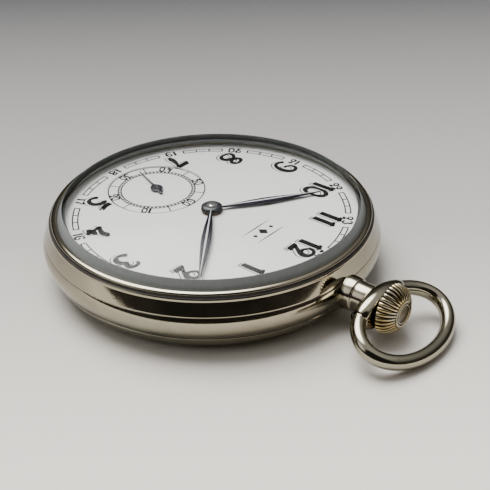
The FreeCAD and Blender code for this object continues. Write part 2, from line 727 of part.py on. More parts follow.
def make_clutch():
    """Sliding pinion on the stem's square, grooved for the yoke."""
    radius = size("clutch_radius")
    shape = ring(0, radius, 11.6, 13.3)
    shape = shape.fuse([ring(0, 1.2, 13.2, 14.0), ring(0, radius, 13.95, 15.5)])
    shape = shape.fuse(dog_teeth(22.5, 15.4, 15.75, 1.0, radius))
    shape = shape.fuse(dog_teeth(0, 11.25, 11.7, 1.25, radius, 12, 14))
    side = size("stem_square + 2 * play")
    shape = shape.cut(Part.makeBox(side, side, 6, FreeCAD.Vector(-side / 2, -side / 2, 11)))
    feature("clutch", shape.removeSplitter(), 0, 0, size("stem_level"), TOWARDS_CROWN)


# Where the setting lever and the yoke turn.
LEVER_SCREW = ("4.4", "19.45")
YOKE_SCREW = ("5.6", "13.4")


def make_setting_lever():
    """Rocks about its screw; its pin sits in the stem's groove."""
    body = new_body("setting_lever", *LEVER_SCREW)
    sketch = sketch_on(body, lift="lever_level")
    outline(sketch, [
        ("-3.85", "-0.85"), ("-0.4", "-0.8"), ("0.9", "-0.7", "0.9"), ("0.5", "0.75"), ("-3.6", "-0.15"),
    ])
    pad(body, sketch, "0.3")
    sketch = sketch_on(body, lift="4.1")
    circle(sketch, "-3.5", "-0.5", "0.25")
    pad(body, sketch, "3.1")
    holes(body, [("0", "0")], "0.35 + play", "6.9", "0.6")


def make_yoke():
    """Lever whose nose drops into the clutch's groove."""
    body = new_body("yoke", *YOKE_SCREW)
    sketch = sketch_on(body, lift="yoke_level")
    outline(sketch, [
        ("-4.35", "-0.05"), ("-0.6", "-0.7"), ("0.7", "-0.55", "0.8"), ("0.5", "0.7"), ("-4.35", "0.45"),
    ])
    pad(body, sketch, "keyless_thickness")
    sketch = sketch_on(body, lift="4.5")
    outline(sketch, box_corners("-4.35", "-3.9", "-0.05", "0.45"))
    pad(body, sketch, "1.9")
    holes(body, [("0", "0")], "0.35 + play", "6.2", "0.6")


def make_yoke_spring():
    """Blade that presses the yoke towards the winding position."""
    body = new_body("yoke_spring")
    sketch = sketch_on(body, lift="yoke_level")
    outline(sketch, [
        ("6.4", "11.1"), ("7.2", "11.1"), ("7.2", "12"),
        ("3.2", "12.15"), ("3.2", "11.95"), ("6.4", "11.75"),
    ])
    pad(body, sketch, "keyless_thickness")


def make_setting_bridge():
    """Thin plate that holds the lever and the yoke down."""
    body = new_body("setting_bridge")
    sketch = sketch_on(body, lift="setting_bridge_level")
    outline(sketch, [
        ("3", "11.1"), ("7", "11.1"), ("7", "19.6"), ("3.2", "19.7"),
        ("3.2", "16.2"), ("4.4", "15.2"), ("3", "14.4"),
    ])
    pad(body, sketch, "0.25")


def make_crown_wheel():
    """Wheel under the back that carries the winding from the stem to the ratchet."""
    place_x, place_y = AT["crown_wheel"]
    phase = math.pi / 2 + math.pi / TEETH["crown_wheel"]
    shape = toothed_prism(TEETH["crown_wheel"], WINDING_MODULE, *LEVELS["crown_wheel"], phase)
    shape = shape.cut(ring(0, 1.25, 1.7, 2.2)).cut(ring(0, 2.0, 1.7, 1.96))
    feature("crown_wheel", shape, place_x, place_y)
    return phase


def make_crown_wheel_screw():
    """Shouldered screw the crown wheel turns on."""
    body = new_body("crown_wheel_screw", "0", "crown_wheel_y")
    revolve(body, [
        ("0", "1.78"), ("1.95", "1.78"), ("1.95", "1.94"), ("1.2", "1.94"),
        ("1.2", "2.19"), ("0.45", "2.19"), ("0.45", "2.45"), ("0", "2.45"),
    ])
    sketch = sketch_on(body, lift="1.7")
    outline(sketch, box_corners("-2.2", "2.2", "-0.16", "0.16"))
    pocket(body, sketch, "0.18")


def make_ratchet_wheel(crown_wheel_phase):
    """Wheel on the barrel arbor that the click holds against unwinding."""
    place_x, place_y = AT["barrel"]
    phase = meshing_phase(
        AT["crown_wheel"], TEETH["crown_wheel"], crown_wheel_phase, AT["barrel"], TEETH["ratchet"])
    shape = toothed_prism(TEETH["ratchet"], WINDING_MODULE, *LEVELS["ratchet"], phase)
    shape = shape.cut(ring(0, 0.6, 1.7, 2.2)).cut(ring(0, 1.4, 1.7, 1.96))
    feature("ratchet_wheel", shape, place_x, place_y)


def make_ratchet_screw():
    """Sunk screw that holds the ratchet wheel on the barrel arbor."""
    body = new_body("ratchet_screw", *spot("barrel"))
    revolve(body, [
        ("0", "1.78"), ("1.35", "1.78"), ("1.35", "1.94"), ("0.3", "1.94"), ("0.3", "3"), ("0", "3"),
    ])
    sketch = sketch_on(body, lift="1.7")
    outline(sketch, box_corners("-1.6", "1.6", "-0.14", "0.14"))
    pocket(body, sketch, "0.18")


CLICK_REACH, CLICK_ANGLE = 8.95, math.radians(150)
CLICK_AT = (AT["barrel"][0] + CLICK_REACH * math.cos(CLICK_ANGLE),
            AT["barrel"][1] + CLICK_REACH * math.sin(CLICK_ANGLE))


def make_click():
    """Pawl of the ratchet wheel. Its beak stands just clear of the teeth."""
    body = new_body("click", num(CLICK_AT[0]), num(CLICK_AT[1]))
    sketch = sketch_on(body, lift="click_level")
    outline(sketch, [
        ("-0.5", "-0.85", "0.95"), ("0.5", "-0.75"), ("2.15", "0.3"), ("1.7", "0.75"), ("0.2", "0.95", "1"),
    ])
    pad(body, sketch, "click_thickness")
    holes(body, [("0", "0")], "0.35 + play", "1.7", "0.6")


def make_click_spring():
    """Blade behind the click."""
    body = new_body("click_spring", num(CLICK_AT[0]), num(CLICK_AT[1]))
    sketch = sketch_on(body, lift="click_level")
    outline(sketch, [
        ("2.6", "3"), ("4.4", "2.7"), ("4.5", "3.7"), ("2.6", "3.9"), ("0.5", "1.7"), ("0.65", "1.5"),
    ])
    pad(body, sketch, "click_thickness")


# ---------------------------------------------------------------- frame

# Feet, screws and the line that divides the two bridges.
BARREL_FEET = [(-7.5, 16.9), (9.5, 13.5), (-18.4, -2.4)]
TRAIN_FEET = [(-15.8, -8.6), (3.0, -18.2)]
COCK_SCREW = (15.6, 5.4)
PALLET_SCREW = (11.35, -11.3)
CASE_SCREWS = [tuple(polar(20.1, math.radians(angle))) for angle in (-48, 165)]
DIAL_FEET = [tuple(polar(19.2, math.radians(angle))) for angle in (120, 250, 0)]
BOUNDARY = math.radians(108.4)


def texts(places):
    """Computed places as plain text for sketches."""
    return [(num(x), num(y)) for x, y in places]


def make_main_plate():
    """Base of the movement, with recesses for the motion and keyless work."""
    body = new_body("main_plate")
    sketch = sketch_on(body, lift="plate_under")
    circle(sketch, "0", "0", "plate_radius")
    pad(body, sketch, "plate_top - plate_under")
    for corners in (box_corners("-4", "4", "17.6", "20.2"), box_corners("-1.3", "1.5", "9.3", "10.6")):
        sketch = sketch_on(body, lift="3.35")
        outline(sketch, corners)
        pad(body, sketch, "plate_under - 3.3")
    minute_x, minute_y = spot("minute")
    setting_x, setting_y = spot("setting")
    holes(body, [("0", "0")], "3.9", "motion_floor", "2")
    holes(body, [(minute_x, minute_y)], "3.65", "motion_floor", "2")
    holes(body, [(setting_x, setting_y)], "2.15", "5.95", "3")
    for corners, low, depth in (
            (box_corners("-2.6", "2.6", "10.75", "17.55"), "3.2", "3.75"),
            (box_corners("1", "7.4", "10.9", "15.2"), "6.25", "2"),
            (box_corners("0.3", "6.6", "17.7", "20.7"), "7", "1"),
            (box_corners("2.7", "7.3", "10.9", "19.8"), "7.42", "1"),
            (box_corners("0.6", "1.22", "18.6", "20.3"), "3.2", "4")):
        sketch = sketch_on(body, lift=low)
        outline(sketch, corners)
        pocket(body, sketch, depth)
    for x, y, radius, low, height in (
            (minute_x, minute_y, "0.35", "motion_floor - 0.1", "0.95"),
            (setting_x, setting_y, "0.5", "5.85", "1.25"),
            (*LEVER_SCREW, "0.35", "6.9", "0.5"),
            (*YOKE_SCREW, "0.35", "6.15", "0.5")):
        sketch = sketch_on(body, lift=low)
        circle(sketch, x, y, radius)
        pad(body, sketch, height)
    seats = [spot(name) for name in ("third", "fourth", "escape", "pallet", "balance")]
    holes(body, seats, "jewel_radius", "plate_under - 0.1", "0.6")
    holes(body, seats, "0.3", "plate_under - 0.1", "3")
    holes(body, [("0", "0")], "0.6", "plate_under - 0.1", "3")
    holes(body, [spot("barrel")], "0.7 + play", "plate_under - 0.1", "0.9")
    holes(body, texts(DIAL_FEET), "0.54", "plate_under + 0.3", "3")
    feet = BARREL_FEET + TRAIN_FEET + [COCK_SCREW, PALLET_SCREW] + CASE_SCREWS
    holes(body, texts(feet), "screw_bore", "plate_under - 0.1", "1.2")
    sketch = sketch_on(body, "XZ_Plane")
    circle(sketch, "0", "stem_level", "stem_radius + play")
    pocket(body, sketch, "plate_radius + 1", upwards=False)


def bridge_blank(body, corners, feet, foot_radius="1.6"):
    """Plate of a bridge with its feet down to the main plate."""
    sketch = sketch_on(body, lift="bridge_back")
    outline(sketch, corners)
    pad(body, sketch, "bridge_inner - bridge_back")
    for x, y in texts(feet):
        sketch = sketch_on(body, lift="bridge_inner - 0.1")
        circle(sketch, x, y, foot_radius)
        pad(body, sketch, "plate_under - bridge_inner + 0.1")
    holes(body, texts(feet), "screw_bore", "bridge_back - 0.1", "4")
    holes(body, texts(feet), "screw_seat", "bridge_back - 0.1", "0.45")


def along(across, out):
    """A point from the bridges' dividing line: across it, and out along it."""
    x = across * math.cos(BOUNDARY) + out * math.sin(BOUNDARY)
    y = across * math.sin(BOUNDARY) - out * math.cos(BOUNDARY)
    return num(x), num(y)


def chord_half(across):
    """Half the length of a straight cut through the bridges' round outline."""
    return math.sqrt(size("bridge_radius") ** 2 - across ** 2)


def make_barrel_bridge():
    """Half-round bridge over the barrel and the winding wheels."""
    body = new_body("barrel_bridge")
    edge = 2.2
    reach = chord_half(edge)
    bridge_blank(body, [along(edge, reach) + ("bridge_radius",), along(edge, -reach)], BARREL_FEET)
    for corners, low in (
            (box_corners("-2.6", "2.6", "10.75", "17.55"), "2.5"),
            (box_corners("-2.1", "2.1", "15.9", "17.55"), "bridge_back - 0.1")):
        sketch = sketch_on(body, lift=low)
        outline(sketch, corners)
        pocket(body, sketch, "2")
    holes(body, [spot("barrel")], "0.8 + play", "bridge_back - 0.1", "2")
    holes(body, [spot("crown_wheel")], "0.5", "bridge_back - 0.1", "0.6")
    holes(body, texts(CASE_SCREWS[1:]), "1.4", "bridge_back - 0.1", "2")
    sketch = sketch_on(body, lift="1.8")
    circle(sketch, num(CLICK_AT[0]), num(CLICK_AT[1]), "0.35")
    pad(body, sketch, "0.5")


def make_train_bridge():
    """Quarter bridge over the centre, third, fourth and escape arbors."""
    body = new_body("train_bridge")
    edge, inner_edge = 1.9, 4.2
    left = along(edge, -chord_half(edge))
    bottom = along(-chord_half(inner_edge), inner_edge)
    bridge_blank(body, [along(edge, inner_edge), left + ("bridge_radius",), bottom], TRAIN_FEET)
    sketch = sketch_on(body, lift="bridge_back - 0.1")
    circle(sketch, "balance_x", "balance_y", "balance_rim + 0.8")
    pocket(body, sketch, "3")
    jewelled = [spot(name) for name in ("third", "fourth", "escape")]
    holes(body, jewelled, "jewel_radius", "bridge_back - 0.1", "2")
    holes(body, [("0", "0")], "1", "bridge_back - 0.1", "2")


def make_pallet_bridge():
    """Small cock over the pallet staff, tucked under the balance."""
    body = new_body("pallet_bridge")
    pallet_x, pallet_y = AT["pallet"]
    sketch = sketch_on(body, lift="4.08")
    outline(sketch, [
        (num(pallet_x - 0.65), num(pallet_y - 0.7)),
        ("10.6", "-12.4"), ("12.4", "-12"), ("12.3", "-10.4"),
        (num(pallet_x + 0.85), num(pallet_y + 0.5), "1.05"),
    ])
    pad(body, sketch, "0.3")
    sketch = sketch_on(body, lift="4.3")
    outline(sketch, [("10.9", "-12.3"), ("12.3", "-12"), ("12.2", "-10.5"), ("10.8", "-10.5")])
    pad(body, sketch, "plate_under - 4.3")
    holes(body, texts([PALLET_SCREW]), "screw_bore", "4", "3")
    holes(body, texts([PALLET_SCREW]), "0.62", "4", "0.4")
    holes(body, [spot("pallet")], "0.5", "4", "1")


HAIRSPRING_STUD = (AT["balance"][0] + 2.35, AT["balance"][1] + 3.95)


def make_balance_cock():
    """Arm from its foot near the rim to the balance staff."""
    body = new_body("balance_cock")
    sketch = sketch_on(body, lift="cock_back")
    outline(sketch, [
        ("balance_x - 1.5", "balance_y + 0.4", "1.6"), ("balance_x + 1.5", "balance_y + 0.2"),
        ("17.4", "3.8"), ("19.6", "3.9"), ("18.3", "7.9"), ("11.8", "5.7"), ("11.8", "3.7"),
    ])
    pad(body, sketch, "0.8")
    sketch = sketch_on(body, lift="2.8")
    outline(sketch, [("11.8", "3.7"), ("19.6", "3.9"), ("18.3", "7.9"), ("11.8", "5.7")])
    pad(body, sketch, "plate_under - 2.8")
    holes(body, texts([COCK_SCREW]), "screw_bore", "2", "4")
    holes(body, texts([COCK_SCREW]), "screw_seat", "2", "0.45")
    holes(body, [("balance_x", "balance_y")], "jewel_radius", "2", "1")
    sketch = sketch_on(body, lift="2.7")
    circle(sketch, num(HAIRSPRING_STUD[0]), num(HAIRSPRING_STUD[1]), "0.25 + play")
    pocket(body, sketch, "0.6", upwards=True)


SCREW_SHANK = 0.45
SCREW_TIP = 6.7         # level of the screws' ends, inside the main plate


def slotted_screw(x, y, head_radius, head_low, head_height, shank_radius=SCREW_SHANK):
    """A screw whose head faces the back of the watch."""
    head = Part.makeCylinder(head_radius, head_height, FreeCAD.Vector(x, y, head_low))
    shank = Part.makeCylinder(shank_radius, SCREW_TIP - head_low, FreeCAD.Vector(x, y, head_low))
    slot = Part.makeBox(head_radius * 2.2, head_radius * 0.24, head_height * 0.5,
                        FreeCAD.Vector(x - head_radius * 1.1, y - head_radius * 0.12, head_low))
    slot.rotate(FreeCAD.Vector(x, y, 0), FreeCAD.Vector(0, 0, 1), (x * 37 + y * 53) % 180)
    return head.fuse(shank).cut(slot)


def make_screws():
    """Screws of the bridges and cocks, and the two that hold the movement in the case."""
    head, height, sunk = size("screw_seat") - 0.04, 0.3, 0.02
    low = size("bridge_back") + sunk
    bridge = [slotted_screw(x, y, head, low, height) for x, y in BARREL_FEET + TRAIN_FEET]
    bridge.append(slotted_screw(*COCK_SCREW, head, size("cock_back") + sunk, height))
    bridge.append(slotted_screw(*PALLET_SCREW, 0.58, 4.1, 0.26, 0.4))
    feature("bridge_screws", Part.makeCompound(bridge))
    level = size("plate_under") - 1.0
    case = [slotted_screw(x, y, 1.15, level, 0.46, 0.46) for x, y in CASE_SCREWS]
    feature("case_screws", Part.makeCompound(case))


def make_jewels():
    """Ring jewels for the pivots, and the cap jewel over the balance staff."""
    pierced = size("pivot_radius") + 0.03
    outer = size("jewel_radius")
    under = size("plate_under")
    bridge_low, bridge_high = 2.45, 3.1
    # name of the arbor, hole, radius, low and high face
    seats = [("fourth", 0.23, outer, under, under + 0.45)]
    for name in ("third", "escape", "pallet", "balance"):
        seats.append((name, pierced, outer, under, under + 0.45))
    seats += [(name, pierced, outer, bridge_low, bridge_high) for name in ("third", "fourth", "escape")]
    seats.append(("centre", 0.28, 1.0, 2.4, bridge_high))
    seats.append(("pallet", pierced, 0.5, 4.1, 4.38))
    seats.append(("balance", pierced, outer, 2.35, 2.8))
    stones = []
    for name, hole, radius, low, high in seats:
        stone = ring(hole, radius, low, high)
        stone.translate(FreeCAD.Vector(AT[name][0], AT[name][1], 0))
        stones.append(stone)
    cap = ring(0, 0.62, 1.8, 2.1).fuse(ring(0, 0.73, 2.06, 2.3))
    cap.translate(FreeCAD.Vector(AT["balance"][0], AT["balance"][1], 0))
    stones.append(cap)
    feature("train_jewels", Part.makeCompound(stones))


# ---------------------------------------------------------------- power

def make_barrel():
    """Toothed drum, lid and arbor, with the coiled mainspring between them."""
    place_x, place_y = AT["barrel"]
    phase = 0.0
    teeth = toothed_prism(TEETH["barrel"], size("barrel_module"), *LEVELS["barrel"], phase)
    shape = teeth.fuse([ring(0, 8.3, 3.9, 5.2)])
    shape = shape.cut(ring(0, 7.85, 3.4, 4.9)).cut(ring(0, 0.94, 4.8, 5.3))
    feature("barrel_drum", shape, place_x, place_y)
    body = new_body("barrel_cover", *spot("barrel"))
    revolve(body, [("0.94", "3.5"), ("7.8", "3.5"), ("7.8", "3.75"), ("0.94", "3.75")])
    body = new_body("barrel_arbor", *spot("barrel"))
    revolve(body, [
        ("0.32", "1.97"), ("0.58", "1.97"), ("0.58", "2.17"), ("0.8", "2.17"), ("0.8", "3.42"),
        ("0.9", "3.42"), ("0.9", "3.82"), ("1.6", "3.82"), ("1.6", "4.84"), ("0.9", "4.84"), ("0.9", "5.28"),
        ("0.7", "5.28"), ("0.7", "6.4"), ("0", "6.4"), ("0", "3.1"), ("0.32", "3.1"),
    ])
    spring = spiral_prism(2.2, 7.6, 8, 0.2, 3.84, 4.82)
    feature("mainspring", spring, place_x, place_y)
    return phase


# ---------------------------------------------------------------- train

def make_arbor(label, name, stations, module, phase):
    """A pinion cut on its own arbor."""
    leaves = toothed_prism(TEETH[label], module, *LEVELS[label], phase, PINION_LEAF)
    feature(label, turned_solid(stations).fuse(leaves), AT[name][0], AT[name][1])


def make_wheel(name, module, bore, hub):
    """A spoked wheel for the arbor of the same name, one tooth pointing along +X."""
    low, high = LEVELS[name]
    root = module * TEETH[name] / 2 - WHEEL_TOOTH["dedendum"] * module
    shape = toothed_prism(TEETH[name], module, low, high)
    shape = spoked(shape, hub, root - 0.55, 5, low, high)
    shape = shape.cut(ring(0, bore, low - 1, high + 1))
    feature(name + "_wheel", shape, AT[name][0], AT[name][1])


def plain_arbor(thick, top_radius, top):
    """Stations of an arbor between two pivots: bridge side, body, main plate side."""
    fine = size("pivot_radius")
    low, shoulder, under = 2.5, 3.34, 5.71
    lower = [(fine, low), (fine, shoulder), (thick, shoulder)]
    return lower + [(thick, under), (top_radius, under), (top_radius, top)]


def make_train(barrel_phase):
    """Centre, third, fourth and escape arbors with their wheels, in mesh."""
    fine = size("pivot_radius")
    train, fourth = size("train_module"), size("fourth_module")
    pivot_end = 6.18
    phase = meshing_phase(AT["barrel"], TEETH["barrel"], barrel_phase, AT["centre"], TEETH["centre_pinion"])
    make_arbor("centre_pinion", "centre", [
        (0.25, 2.45), (0.25, 3.34), (0.6, 3.34), (0.6, 5.68), (0.55, 5.68),
        (0.55, 6.7), (0.45, 6.7), (0.45, 9.42), (0.3, 9.5)],
        size("barrel_module"), phase)
    make_wheel("centre", train, 0.6, 1.3)
    phase = meshing_phase(AT["centre"], TEETH["centre"], 0.0, AT["third"], TEETH["third_pinion"])
    make_arbor("third_pinion", "third", plain_arbor(0.3, fine, pivot_end), train, phase)
    make_wheel("third", train, 0.3, 1.0)
    phase = meshing_phase(AT["third"], TEETH["third"], 0.0, AT["fourth"], TEETH["fourth_pinion"])
    make_arbor("fourth_pinion", "fourth", plain_arbor(0.3, 0.2, 8.75), train, phase)
    make_wheel("fourth", fourth, 0.3, 1.0)
    phase = meshing_phase(AT["fourth"], TEETH["fourth"], 0.0, AT["escape"], TEETH["escape_pinion"])
    make_arbor("escape_pinion", "escape", plain_arbor(0.25, fine, pivot_end), fourth, phase)


def make_escape_wheel():
    """Fifteen club teeth on four spokes."""
    tip = size("escape_radius")
    root = tip - 0.75
    step = 2 * math.pi / TEETH["escape"]
    points = []
    club = ((root, 0.02), (tip - 0.12, -0.12), (tip, 0.03), (tip - 0.3, 0.08), (root, 0.32))
    for tooth in range(TEETH["escape"]):
        start = tooth * step
        for radius, part in club:
            points.append(polar(radius, start + part * step))
    low, high = LEVELS["escape"]
    shape = polygon_prism(points, low, high)
    shape = spoked(shape, 0.7, root - 0.35, 4, low, high, 0.32)
    shape = shape.cut(ring(0, 0.25, 4, 5))
    feature("escape_wheel", shape, AT["escape"][0], AT["escape"][1])


def escapement_angle():
    """Direction from the escape wheel to the balance, in degrees."""
    run_x = AT["balance"][0] - AT["escape"][0]
    run_y = AT["balance"][1] - AT["escape"][1]
    return math.degrees(math.atan2(run_y, run_x))


def facing_the_balance():
    """Turn of the parts that are drawn along +X but lie on the escapement's line."""
    return FreeCAD.Rotation(FreeCAD.Vector(0, 0, 1), escapement_angle())


def make_pallet_fork():
    """Anchor, lever and fork, with its staff, drawn pointing along +X."""
    reach = math.dist(AT["pallet"], AT["balance"]) - 0.62
    body = new_body("pallet_fork", *spot("pallet"), "0", facing_the_balance())
    sketch = sketch_on(body, lift="fork_level")
    outline(sketch, [
        ("0.5", "-0.35"), (num(reach - 0.9), "-0.2"), (num(reach - 0.5), "-0.45"), (num(reach), "-0.5"),
        (num(reach), "-0.2"), (num(reach - 0.35), "-0.16"), (num(reach - 0.35), "0.16"), (num(reach), "0.2"),
        (num(reach), "0.5"), (num(reach - 0.5), "0.45"), (num(reach - 0.9), "0.2"), ("0.5", "0.35"),
        ("0.1", "1.95"), ("-0.45", "1.95"), ("-0.5", "0.3"),
        ("-0.5", "-0.3"), ("-0.45", "-1.95"), ("0.1", "-1.95"),
    ])
    pad(body, sketch, "0.22")
    for radius, low, height in (("0.28", "4.42", "1.3"), ("pivot_radius", "4.14", "2")):
        sketch = sketch_on(body, lift=low)
        circle(sketch, "0", "0", radius)
        pad(body, sketch, height)
    length, thick, apart = 0.5, 0.3, 1.72
    stones = []
    for side in (-1, 1):
        corner = FreeCAD.Vector(-0.97, side * apart - thick / 2, size("fork_level") - 0.04)
        stones.append(Part.makeBox(length, thick, thick, corner))
    pallet_x, pallet_y = AT["pallet"]
    feature("pallet_stones", Part.makeCompound(stones), pallet_x, pallet_y, 0, facing_the_balance())


# ---------------------------------------------------------------- balance

def make_balance():
    """Screwed rim on two arms, with its staff, collet, roller and impulse jewel."""
    place_x, place_y = AT["balance"]
    outer, inner = size("balance_rim"), size("balance_rim_inner")
    turn = facing_the_balance()
    arm_width, arm_low, arm_thick = 0.8, 3.45, 0.3
    arm_reach = inner + 0.3
    corner = FreeCAD.Vector(-arm_width / 2, -arm_reach, arm_low)
    arm = Part.makeBox(arm_width, 2 * arm_reach, arm_thick, corner)
    hub = ring(0, 1.0, arm_low, arm_low + arm_thick)
    wheel = ring(inner, outer, *LEVELS["balance_rim"]).fuse([arm, hub]).cut(ring(0, 0.4, 3, 4.2))
    feature("balance_wheel", wheel, place_x, place_y, 0, turn)
    count, head_radius, head_length = 14, 0.27, 0.5
    screws = []
    for index in range(count):
        foot = FreeCAD.Vector(outer, 0, sum(LEVELS["balance_rim"]) / 2 + 0.005)
        head = Part.makeCylinder(head_radius, head_length, foot, FreeCAD.Vector(1, 0, 0))
        head.rotate(FreeCAD.Vector(), FreeCAD.Vector(0, 0, 1), 360 / count * (index + 0.5))
        screws.append(head)
    rim_room = Part.makeCylinder(outer, 3, FreeCAD.Vector(0, 0, 3))
    feature("balance_screws", Part.makeCompound(screws).cut(rim_room), place_x, place_y, 0, turn)
    body = new_body("balance_staff", "balance_x", "balance_y")
    revolve(body, [
        ("0", "2.4"), ("pivot_radius", "2.4"), ("pivot_radius", "2.84"), ("0.3", "2.84"), ("0.3", "3.4"),
        ("0.4", "3.4"), ("0.4", "3.85"), ("0.3", "3.85"), ("0.3", "5.71"), ("pivot_radius", "5.71"),
        ("pivot_radius", "6.15"), ("0", "6.15"),
    ])
    body = new_body("hairspring_collet", "balance_x", "balance_y")
    revolve(body, [("0.3", "2.95"), ("0.62", "2.95"), ("0.62", "3.25"), ("0.3", "3.25")])
    body = new_body("roller", "balance_x", "balance_y")
    revolve(body, [("0.3", "4.06"), ("1.25", "4.06"), ("1.25", "4.26"), ("0.3", "4.26")])
    jewel_x, jewel_y = polar(0.95, math.radians(escapement_angle() + 180))
    body = new_body("impulse_jewel", num(place_x + jewel_x), num(place_y + jewel_y))
    sketch = sketch_on(body, lift="4.26")
    circle(sketch, "0", "0", "0.14")
    pad(body, sketch, "0.2")


def make_hairspring():
    """Flat spiral from just outside the collet to the stud on the cock."""
    end = math.atan2(HAIRSPRING_STUD[1] - AT["balance"][1], HAIRSPRING_STUD[0] - AT["balance"][0])
    turns, thickness, inner, stud_radius = 9, 0.07, 0.9, 0.25
    reach = math.dist(HAIRSPRING_STUD, AT["balance"]) - stud_radius
    spring = spiral_prism(inner, reach, turns, thickness, 3.0, 3.2, end)
    feature("hairspring", spring, AT["balance"][0], AT["balance"][1])
    body = new_body("hairspring_stud", num(HAIRSPRING_STUD[0]), num(HAIRSPRING_STUD[1]))
    sketch = sketch_on(body, lift="2.72")
    circle(sketch, "0", "0", "0.25")
    pad(body, sketch, "0.55")


def make_regulator():
    """Index lever round the cap jewel, on the back of the cock."""
    body = new_body("regulator", "balance_x", "balance_y")
    sketch = sketch_on(body, lift="1.84")
    outline(sketch, [
        ("-0.9", "0.9", "1.28"), ("0.9", "0.9"), ("0.75", "5.2"), ("0.6", "5.2"), ("0.3", "1.6"),
    ])
    pad(body, sketch, "0.18")
    holes(body, [("0", "0")], "0.62 + play", "1.7", "0.6")


# ---------------------------------------------------------------- motion work

def make_motion_work():
    """Cannon pinion, minute, setting and hour wheels, under the dial."""
    module = size("motion_module")
    shape = toothed_prism(TEETH["cannon"], module, *LEVELS["cannon"], 0.0, PINION_LEAF)
    shape = shape.fuse([ring(0, 0.85, 6.78, 9.12), ring(0, 0.72, 9.0, 9.4)]).cut(ring(0, 0.46, 6, 10))
    feature("cannon_pinion", shape, 0, 0)
    phase = meshing_phase(AT["centre"], TEETH["cannon"], 0.0, AT["minute"], TEETH["minute"])
    wheel = toothed_prism(TEETH["minute"], module, *LEVELS["minute"], phase)
    pinion = toothed_prism(TEETH["minute_pinion"], HOUR_MODULE, *LEVELS["minute_pinion"], 0.0, PINION_LEAF)
    shape = wheel.fuse(pinion).cut(ring(0, 0.39, 6, 8))
    feature("minute_wheel", shape, AT["minute"][0], AT["minute"][1])
    setting_phase = meshing_phase(AT["minute"], TEETH["minute"], phase, AT["setting"], TEETH["setting"])
    shape = toothed_prism(TEETH["setting"], module, *LEVELS["setting"], setting_phase)
    shape = shape.cut(ring(0, 0.54, 5, 8))
    feature("setting_wheel", shape, AT["setting"][0], AT["setting"][1])
    hour_phase = meshing_phase(AT["minute"], TEETH["minute_pinion"], 0.0, AT["centre"], TEETH["hour"])
    shape = toothed_prism(TEETH["hour"], HOUR_MODULE, *LEVELS["hour"], hour_phase)
    shape = shape.fuse(ring(0, 1.2, 7.3, 8.99)).cut(ring(0, 0.9, 7, 10))
    feature("hour_wheel", shape, 0, 0)


# ---------------------------------------------------------------- dial and hands

def make_dial():
    """Enamelled disc with a sunk seconds dial and three feet."""
    body = new_body("dial")
    sketch = sketch_on(body, lift="dial_top - dial_thickness")
    circle(sketch, "0", "0", "dial_radius")
    pad(body, sketch, "dial_thickness")
    for x, y in texts(DIAL_FEET):
        sketch = sketch_on(body, lift="plate_under + 0.5")
        circle(sketch, x, y, "0.5")
        pad(body, sketch, "dial_top - plate_under - 0.9")
    holes(body, [("0", "0")], "1.45", "plate_under", "3")
    holes(body, [("0", "-seconds_offset")], "0.45", "plate_under", "3")
    holes(body, [("0", "-seconds_offset")], "seconds_sink", "dial_top - 0.12", "1")


def leaf_hand(label, angle, x, y, low, thickness, length, half_width, boss, bore):
    """A leaf-shaped hand on a round boss."""
    turn = FreeCAD.Rotation(FreeCAD.Vector(0, 0, 1), -size(angle))
    body = new_body(label, x, y, "0", turn)
    sketch = sketch_on(body, lift=low)
    circle(sketch, "0", "0", boss)
    pad(body, sketch, thickness)
    run = f"({length} - {boss} * 0.8) / 2"
    swell = f"({half_width} - 0.1)"
    side = f"{run} * ({length} - {boss} * 0.8) / 4 / {swell} + {swell} / 2"
    sketch = sketch_on(body, lift=low)
    foot = f"{boss} * 0.8"
    outline(sketch, [("-0.14", foot), ("0.14", foot, side), ("0.04", length), ("-0.04", length, side)])
    pad(body, sketch, thickness)
    holes(body, [("0", "0")], bore, f"{low} - 0.5", "2")


def make_hands():
    """Hour, minute and seconds hands; the last figures are half width, boss and bore."""
    leaf_hand("hour_hand", "hour_angle", "0", "0", "hour_hand_level", "hand_thickness",
              "hour_hand_length", "0.86", "1.55", "1.2")
    leaf_hand("minute_hand", "minute_angle", "0", "0", "minute_hand_level", "hand_thickness",
              "minute_hand_length", "0.74", "1.45", "0.72")
    leaf_hand("seconds_hand", "seconds_angle", "0", "-seconds_offset", "seconds_hand_level",
              "seconds_hand_thickness", "seconds_hand_length", "0.2", "0.85", "0.2")


def make_all():
    make_case_middle()
    make_back_cover()
    make_dust_cover()
    make_bezel()
    make_crystal()
    make_pendant()
    make_bow()
    make_crown()
    make_winding_stem()
    make_winding_pinion()
    make_clutch()
    make_setting_lever()
    make_yoke()
    make_yoke_spring()
    make_setting_bridge()
    make_ratchet_wheel(make_crown_wheel())
    make_crown_wheel_screw()
    make_ratchet_screw()
    make_click()
    make_click_spring()
    make_main_plate()
    make_barrel_bridge()
    make_train_bridge()
    make_pallet_bridge()
    make_balance_cock()
    make_screws()
    make_jewels()
    make_train(make_barrel())
    make_escape_wheel()
    make_pallet_fork()
    make_balance()
    make_hairspring()
    make_regulator()
    make_motion_work()
    make_dial()
    make_hands()


def check_and_export():
    doc.recompute()
    for item in doc.Objects:
        if "Invalid" in item.State or "Error" in item.State:
            raise RuntimeError(f"{item.Label} failed: {item.State}")
    os.makedirs("parts", exist_ok=True)
    for item in SUBPARTS:
        if item.Shape.isNull() or not item.Shape.isValid() or not item.Shape.Solids:
            raise RuntimeError(f"{item.Label} has no sound solid")
        item.Shape.exportStep(f"parts/{item.Label}.step")
        print(f"{item.Label:20s} solids {len(item.Shape.Solids):3d} volume {item.Shape.Volume:9.3f}")


make_all()
check_and_export()
